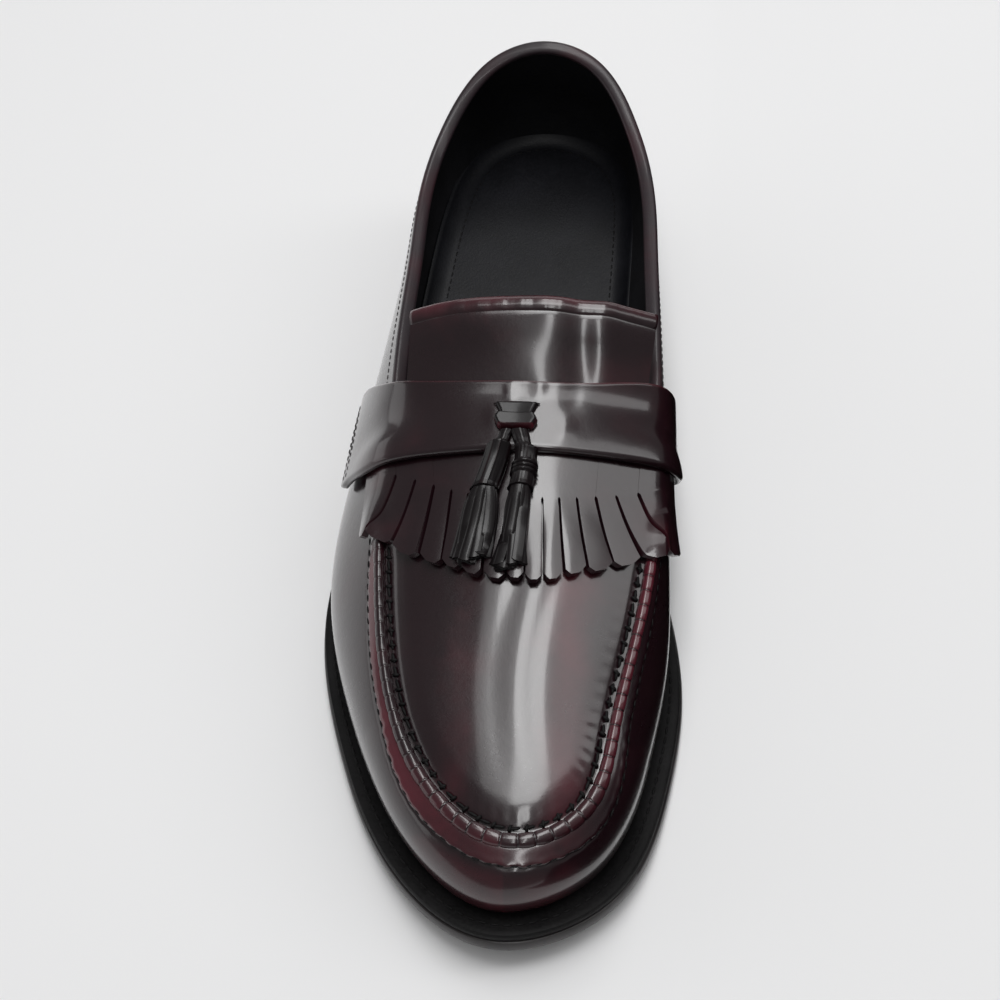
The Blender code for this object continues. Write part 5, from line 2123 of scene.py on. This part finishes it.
    def _tab(self) -> None:
        """The folded tab through the strap."""
        drape = Drape(self.last, Ground(self.bench, ["saddle_strap_dressed"]), 1, 1, 1)
        v = np.linspace(0, 1, 30)
        u = np.linspace(-1, 1, 21)
        sheet, rows = Sheet(), []
        y = self.tab_rear + self.tab_long * v
        fold = smooth(v, 0.0, 0.06) * (1 - smooth(v, 0.46, 0.56))
        half = np.interp(v, [0, 0.08, 0.30, 0.45, 0.53, 0.75, 1.0],
                         [0.0044, 0.0053, 0.0063, 0.0055, 0.0046, 0.0050, 0.0061])
        for i in range(len(v)):
            away = (1 - np.abs(u)) * half[i]
            edge = np.clip(away / 0.0008, 0, 1)
            tilt = 0.0005 * fold[i] * (0.5 - v[i] / 0.5) - 0.0003 * u * u
            high = ((0.0011 + 0.0017 * fold[i] - tilt)
                    * (0.35 + 0.65 * rounded(away, 0.0008)))
            angle = np.degrees(half[i] / self.radius) * u - self.tab_side
            line_y = np.full(len(u), y[i])
            low = np.full(len(u), 0.0001)
            rows.append(sheet.pair(
                drape.points(angle, line_y, low + high), drape.points(angle, line_y, low),
                rub=0.12 + 0.45 * (1 - edge) * fold[i] + 0.4 * (v[i] < 0.08)))
        sheet.stack(rows)
        self.bench.piece("tassel_tab_dressed", sheet.thicken(), self.finishes.tassel,
                         ["tassel_tab"])
        self._slot(drape, y[-1], half[-1])

    def _slot(self, drape: Drape, y: float, half: float) -> None:
        """A dark piece in the slot that the tab comes out of: painted shade of the
        opening, over its cut edges.

        Args:
            drape: the strap's surface.
            y: the slot's place.
            half: half its width.
        """
        u = np.linspace(-1, 1, 31)
        angle = np.degrees((half + 0.0006) / self.radius) * u - self.tab_side
        arch = y + 0.0004 - 0.0002 * u**4
        c, s = circle(10)
        thin = 0.0006 * np.sqrt(np.clip(1.02 - u**2, 0, 1))
        rings = [drape.points(np.full(len(c), a), middle + t * c, 0.0002 + 0.0003 * s)
                 for a, middle, t in zip(angle, arch, thin)]
        # Its dark finish paints the shade inside the slot.
        self.bench.piece("strap_slot", loft(rings, True), self.finishes.cut)


class TasselPoint(NamedTuple):
    """A point of a tassel's middle line: place in plan and size of its body."""
    place: str
    x: float
    y: float
    half_wide: float
    half_high: float


TASSEL_OUTER = (
    TasselPoint("knot", 0.0022, -0.0203, 0.0018, 0.0012),
    TasselPoint("thong", 0.0012, -0.0238, 0.0016, 0.0012),
    TasselPoint("head start", 0.0004, -0.0248, 0.0034, 0.0031),
    TasselPoint("head", -0.0010, -0.0300, 0.0036, 0.0033),
    TasselPoint("head end", -0.0031, -0.0368, 0.0037, 0.0032),
    TasselPoint("skirt start", -0.0038, -0.0405, 0.0046, 0.0030),
    TasselPoint("skirt", -0.0060, -0.0580, 0.0058, 0.0024),
)
TASSEL_INNER = (
    TasselPoint("knot", 0.0060, -0.0203, 0.0026, 0.0013),
    TasselPoint("thong", 0.0072, -0.0246, 0.0024, 0.0015),
    TasselPoint("head start", 0.0082, -0.0258, 0.0032, 0.0029),
    TasselPoint("head", 0.0080, -0.0310, 0.0033, 0.0032),
    TasselPoint("head end", 0.0072, -0.0366, 0.0034, 0.0032),
    TasselPoint("skirt start", 0.0066, -0.0410, 0.0042, 0.0030),
    TasselPoint("skirt", 0.0046, -0.0598, 0.0052, 0.0024),
)


HEAD_END = [point.place for point in TASSEL_OUTER].index("head end")


class Strip(NamedTuple):
    """A strip of a tassel, from the head's rim to its end.

    start, end: offset across in body half widths; layer: 0 lowest;
    length: share of the skirt's length; curl: sideways bow in metres;
    rub: how far its burgundy shows; on the strips it is wear alone.
    """
    start: float
    end: float
    layer: float
    length: float
    curl: float
    rub: float


STRIPS_OUTER = (
    Strip(-0.80, -1.00, 0.0, 0.90, -0.0005, 0.12),
    Strip(-0.38, -0.56, 0.2, 0.97, 0.0002, 0.05),
    Strip(0.02, -0.08, 0.0, 0.99, 0.0003, 0.10),
    Strip(0.42, 0.38, 0.2, 0.95, 0.0005, 0.08),
    Strip(0.82, 0.86, 0.0, 0.90, 0.0006, 0.20),
    Strip(-0.58, -0.80, 1.2, 0.94, -0.0004, 0.06),
    Strip(-0.18, -0.30, 1.3, 1.00, 0.0001, 0.05),
    Strip(0.22, 0.16, 1.1, 0.96, 0.0003, 0.10),
    Strip(0.62, 0.60, 1.3, 0.92, 0.0005, 0.16),
)
STRIPS_INNER = (
    Strip(-0.80, -0.84, 0.0, 0.94, 0.0005, 0.16),
    Strip(-0.38, -0.42, 0.2, 1.00, -0.0002, 0.08),
    Strip(0.04, 0.02, 0.0, 0.98, 0.0002, 0.10),
    Strip(0.44, 0.46, 0.2, 0.97, -0.0003, 0.06),
    Strip(0.82, 0.92, 0.0, 0.92, -0.0006, 0.10),
    Strip(-0.60, -0.64, 1.2, 0.97, 0.0003, 0.18),
    Strip(-0.18, -0.20, 1.3, 1.01, 0.0000, 0.06),
    Strip(0.24, 0.24, 1.1, 0.97, -0.0001, 0.10),
    Strip(0.64, 0.70, 1.3, 0.94, -0.0003, 0.08),
)


class HeadStyle(Enum):
    """How a tassel's head is made."""
    ROLLED = "rolled"
    WRAPPED = "wrapped"


@dataclass
class Tassel:
    """A tassel: a thong, a head and its strips."""
    name: str
    table: Sequence[TasselPoint]
    strips: Sequence[Strip]
    style: HeadStyle
    bench: Workbench
    finishes: Finishes
    strip_wide: float = 0.0033
    strip_thick: float = 0.0011
    head_radius: float = 0.004

    def _line(self, ground: Ground) -> tuple[Array, Array, Array]:
        """The tassel's middle line.

        Args:
            ground: the pieces beneath.

        Returns:
            The line's points, half widths and half heights.
        """
        ys = column_of(self.table, "y")
        y = np.linspace(ys[0], ys[-1], 90)
        x, wide, high = (np.interp(-y, -ys, column_of(self.table, name))
                         for name in ("x", "half_wide", "half_high"))
        z = np.array([ground.bed(*row) for row in zip(x, y, wide, high)])
        for _ in range(60):
            soft = np.convolve(np.pad(z, 1, mode="edge"), (0.5, 0.0, 0.5), "valid")
            soft[[0, -1]] = z[[0, -1]]
            z = np.maximum(soft, z)
        return np.c_[x, y, five_mean(z)], wide, high

    def _head(self, path: Array, wide: Array, high: Array) -> None:
        """The head, with its rolled layers or its cord wraps.

        Args:
            path, wide, high: the tassel's line, as from _line.
        """
        start = self.table[0].y
        rim = self.table[HEAD_END].y - 0.0005
        angles = np.linspace(0, 2 * math.pi, 56, endpoint=False)
        rings, ring_rub_and_light = [], []
        for y in np.linspace(start, rim, 72):
            *p, w, h = (np.interp(-y, -path[:, 1], a) for a in (*path.T, wide, high))
            k = (start - y) / (start - rim)
            flute = (0.00010 * np.sin(9 * angles + 5 * k)
                     + 0.00007 * np.sin(23 * angles + 2))
            swell = 0.0
            if self.style is HeadStyle.WRAPPED:
                turns = (k - 0.56) / 0.22
                if 0 < turns < 1:
                    swell = 0.00075 * abs(math.sin(math.pi * 3 * turns))**0.6
                    flute = 0.00005 * np.sin(40 * angles + 60 * k)
            else:
                layer = 0.00030 * np.sign(np.sin(4 * angles + 1.0)) * (k > 0.1)
                flute = flute * 0.5 + layer * 0.5
            swell += 0.0003 * max(0.0, (k - 0.93) / 0.07)
            r = 1 + (flute + swell) / self.head_radius
            rings.append(np.array(p) + np.c_[w * r * np.cos(angles), 0 * angles,
                                             h * r * np.sin(angles)])
            ring_rub_and_light.append(np.clip(0.12 + 1200 * flute, 0, 1))
        self.bench.piece(self.name + "_head", loft(rings, True, rub=ring_rub_and_light),
                         self.finishes.tassel, [self.name], creased=True)

    def build(self, ground: Ground) -> None:
        """Build the tassel on what lies beneath it."""
        path, wide, high = self._line(ground)
        self._head(path, wide, high)
        for n, strip in enumerate(self.strips):
            rings, ring_rub_and_light = self._strip(n, strip, ground, path, wide, high)
            self.bench.piece(f"{self.name}_strip_{n}",
                             loft(rings, True, rub=ring_rub_and_light),
                             self.finishes.tassel, creased=True)

    def _strip(self, n: int, strip: Strip, ground: Ground, path: Array,
               wide: Array, high: Array) -> tuple[list[Array], list]:
        """One strip, laid from the head's rim down onto what is beneath.

        Args:
            n: its number, which sets its small irregularities.
            strip: its place and form.
            ground: the pieces beneath.
            path, wide, high: the tassel's line, as from _line.

        Returns:
            Its rings of points and their rub marks.
        """
        top, bottom = self.table[HEAD_END].y, self.table[-1].y
        k = np.linspace(0, 1, 26)
        y = (top + 0.0015) + (bottom - top - 0.0015) * strip.length * k
        x, z, w, h = (np.interp(-y, -path[:, 1], a)
                      for a in (path[:, 0], path[:, 2], wide, high))
        share = strip.start + (strip.end - strip.start) * k
        x = x + share * (w - 0.0010) + 1.4 * strip.curl * np.sin(math.pi * k)
        x = x + 0.0004 * np.sin(2.3 * n + 4.0 * k) * k
        bed = np.array([ground.top(a, b) for a, b in zip(x, y)])
        lift = 0.0006 + 0.0013 * strip.layer
        start = z + h * (0.30 + 0.28 * strip.layer) * np.sqrt(
            np.clip(1 - (share * 0.9)**2, 0, 1))
        z = start + (bed + lift - start) * smooth(k, 0.0, 0.75)
        z = np.maximum(z, bed + 0.0006 + 0.0011 * strip.layer)
        z = five_mean(z)
        half = self.strip_wide / 2 * (0.72 + 0.28 * smooth(k, 0.0, 0.4))
        across = np.array([-1.0, -0.8, -0.3, 0.3, 0.8, 1.0])
        s = np.concatenate([across, across[::-1]])
        side = np.repeat([1, -1], len(across))
        thin = self.strip_thick / 2 * np.where(np.abs(s) == 1.0, 0.55, 1.0)
        rings = []
        for i, roll in enumerate(0.25 * share):
            last = i == len(k) - 1
            cut = (0.0006 * (np.abs(s) - 0.5) * last, 0.0008 * s * (n % 2 - 0.5) * last)
            out = half[i] * s
            rings.append(np.c_[x[i] + out * math.cos(roll), y[i] + cut[0] + cut[1],
                               z[i] - out * math.sin(roll) + side * thin
                               - 0.0002 * s * s])
        rub = strip.rub + np.where(np.abs(s) > 0.9, 0.15, 0.0)
        return rings, [rub] * len(rings)


class Panel(NamedTuple):
    """A rectangular soft light: sizes in metres, even brightness."""
    name: str
    place: tuple[float, float, float]
    aim: tuple[float, float, float]
    size: tuple[float, float]
    brightness: float


PANELS = (
    Panel("streak", (0.015, 0.40, 1.5), (0.015, 0.40, 0), (0.36, 1.6), 6.8),
    Panel("streak_front", (0.05, -1.05, 1.5), (0.05, -1.05, 0), (0.13, 1.2), 9.0),
    Panel("overhead_right", (0.54, 0.1, 1.4), (0, 0, 0), (0.42, 2.4), 2.2),
    Panel("left_bank", (-1.4, 0.1, 0.36), (0, 0, 0.1), (1.8, 0.6), 1.0),
    Panel("back_bank", (0.1, 1.7, 0.8), (0, 0, 0), (1.6, 0.7), 1.0),
)
FLAG_PLAN = ((0.060, 0.0008), (0.115, 0.0008), (0.140, 0.090))


@dataclass
class Studio:
    """Floor, lights and camera.

    place is the camera's, from the last's own origin and the floor.
    """
    last: Last
    place: tuple[float, float, float] = (0.0570, -0.3850, 0.5180)
    azimuth: float = -0.1
    elevation: float = 52.4
    roll: float = 1.7
    pan: float = 5.65
    lens: float = 72.0
    sensor: float = 36.0
    surround: float = 0.18
    floor_half: float = 4.0

    def _camera(self) -> None:
        """The camera, turned on its own axis to frame the one shoe."""
        az, el, roll, pan = (math.radians(a) for a in (
            self.azimuth, self.elevation, self.roll, self.pan))
        ahead = Vector((-math.sin(az) * math.cos(el), math.cos(az) * math.cos(el),
                        -math.sin(el)))
        right = ahead.cross(Vector((0, 0, 1))).normalized()
        up = right.cross(ahead)
        right, up = (math.cos(roll) * right + math.sin(roll) * up,
                     -math.sin(roll) * right + math.cos(roll) * up)
        ahead, right = (math.cos(pan) * ahead - math.sin(pan) * right,
                        math.cos(pan) * right + math.sin(pan) * ahead)
        turn = Matrix((right, up, -ahead)).transposed().to_4x4()
        data = bpy.data.cameras.new("camera")
        data.lens, data.sensor_width = self.lens, self.sensor
        data.clip_start, data.clip_end = 0.02, 20.0
        camera = placed("camera", data)
        middle = Vector((*self.last.middle, 0.0))
        camera.matrix_world = Matrix.Translation(Vector(self.place) - middle) @ turn
        bpy.context.scene.camera = camera

    @staticmethod
    def _light(panel: Panel) -> None:
        """Set up one panel.

        Args:
            panel: the panel, whose brightness is that of its face.
        """
        data = bpy.data.lights.new(panel.name, "AREA")
        data.shape, data.size, data.size_y = "RECTANGLE", *panel.size
        data.energy = panel.brightness * math.pi * panel.size[0] * panel.size[1]
        towards = (Vector(panel.aim) - Vector(panel.place)).normalized()
        placed(panel.name, data).matrix_world = (
            Matrix.Translation(panel.place)
            @ towards.to_track_quat("-Z", "Y").to_matrix().to_4x4())

    def _flag(self) -> None:
        """A black card at the shoe's right, seen by its gloss alone."""
        mesh = bpy.data.meshes.new("flag")
        mesh.from_pydata([(x, y, z) for x, z in FLAG_PLAN for y in (-0.32, 0.32)], [],
                         [(0, 2, 3, 1), (2, 4, 5, 3)])
        material = bpy.data.materials.new("flag_black")
        material.use_nodes = True
        shader = material.node_tree.nodes["Principled BSDF"]
        shader.inputs["Base Color"].default_value = (0.002, 0.002, 0.002, 1)
        shader.inputs["Specular IOR Level"].default_value = 0.0
        mesh.materials.append(material)
        card = placed("flag", mesh)
        card.visible_camera = card.visible_diffuse = card.visible_shadow = False
        card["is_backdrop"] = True

    def build(self) -> None:
        """Build the studio."""
        floor = bpy.data.meshes.new("floor")
        half = self.floor_half
        floor.from_pydata([(-half, -half, 0), (half, -half, 0), (half, half, 0),
                           (-half, half, 0)], [], [(0, 1, 2, 3)])
        floor.materials.append(Sweep().make())
        ground = placed("floor", floor)
        ground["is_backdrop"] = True
        self._camera()
        for panel in PANELS:
            self._light(panel)
        self._flag()
        world = bpy.data.worlds.new("studio")
        world.use_nodes = True
        background = world.node_tree.nodes["Background"]
        background.inputs[0].default_value = (1, 1, 1, 1)
        background.inputs[1].default_value = self.surround
        bpy.context.scene.world = world
        bpy.context.scene.view_settings.view_transform = "Standard"


def main() -> None:
    """Build the shoe and its studio, in the order in which pieces rest."""
    logging.basicConfig(level=logging.INFO, format="%(name)s %(message)s")
    last = Last()
    bench = Workbench(last)
    finishes = Finishes()
    SoleUnit(last, bench, finishes).build()
    Upper(last, bench, finishes).build()
    Tongue(last, bench, finishes).build()
    Saddle(last, bench, finishes).build()
    ground = Ground(bench, ["upper_shell", "kiltie_fringe_dressed",
                            "saddle_strap_dressed", "tassel_tab_dressed"])
    Tassel("tassel_outer", TASSEL_OUTER, STRIPS_OUTER, HeadStyle.ROLLED, bench,
           finishes).build(ground)
    Tassel("tassel_inner", TASSEL_INNER, STRIPS_INNER, HeadStyle.WRAPPED, bench,
           finishes).build(ground)
    Studio(last).build()
    boxes = {"cad": cad_box, "visual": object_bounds()}
    ({name: [list(map(float, corner)) for corner in box]
               for name, box in boxes.items()})
    LOG.info("boxes: %s", boxes)


if __name__ == "__main__":
    main()
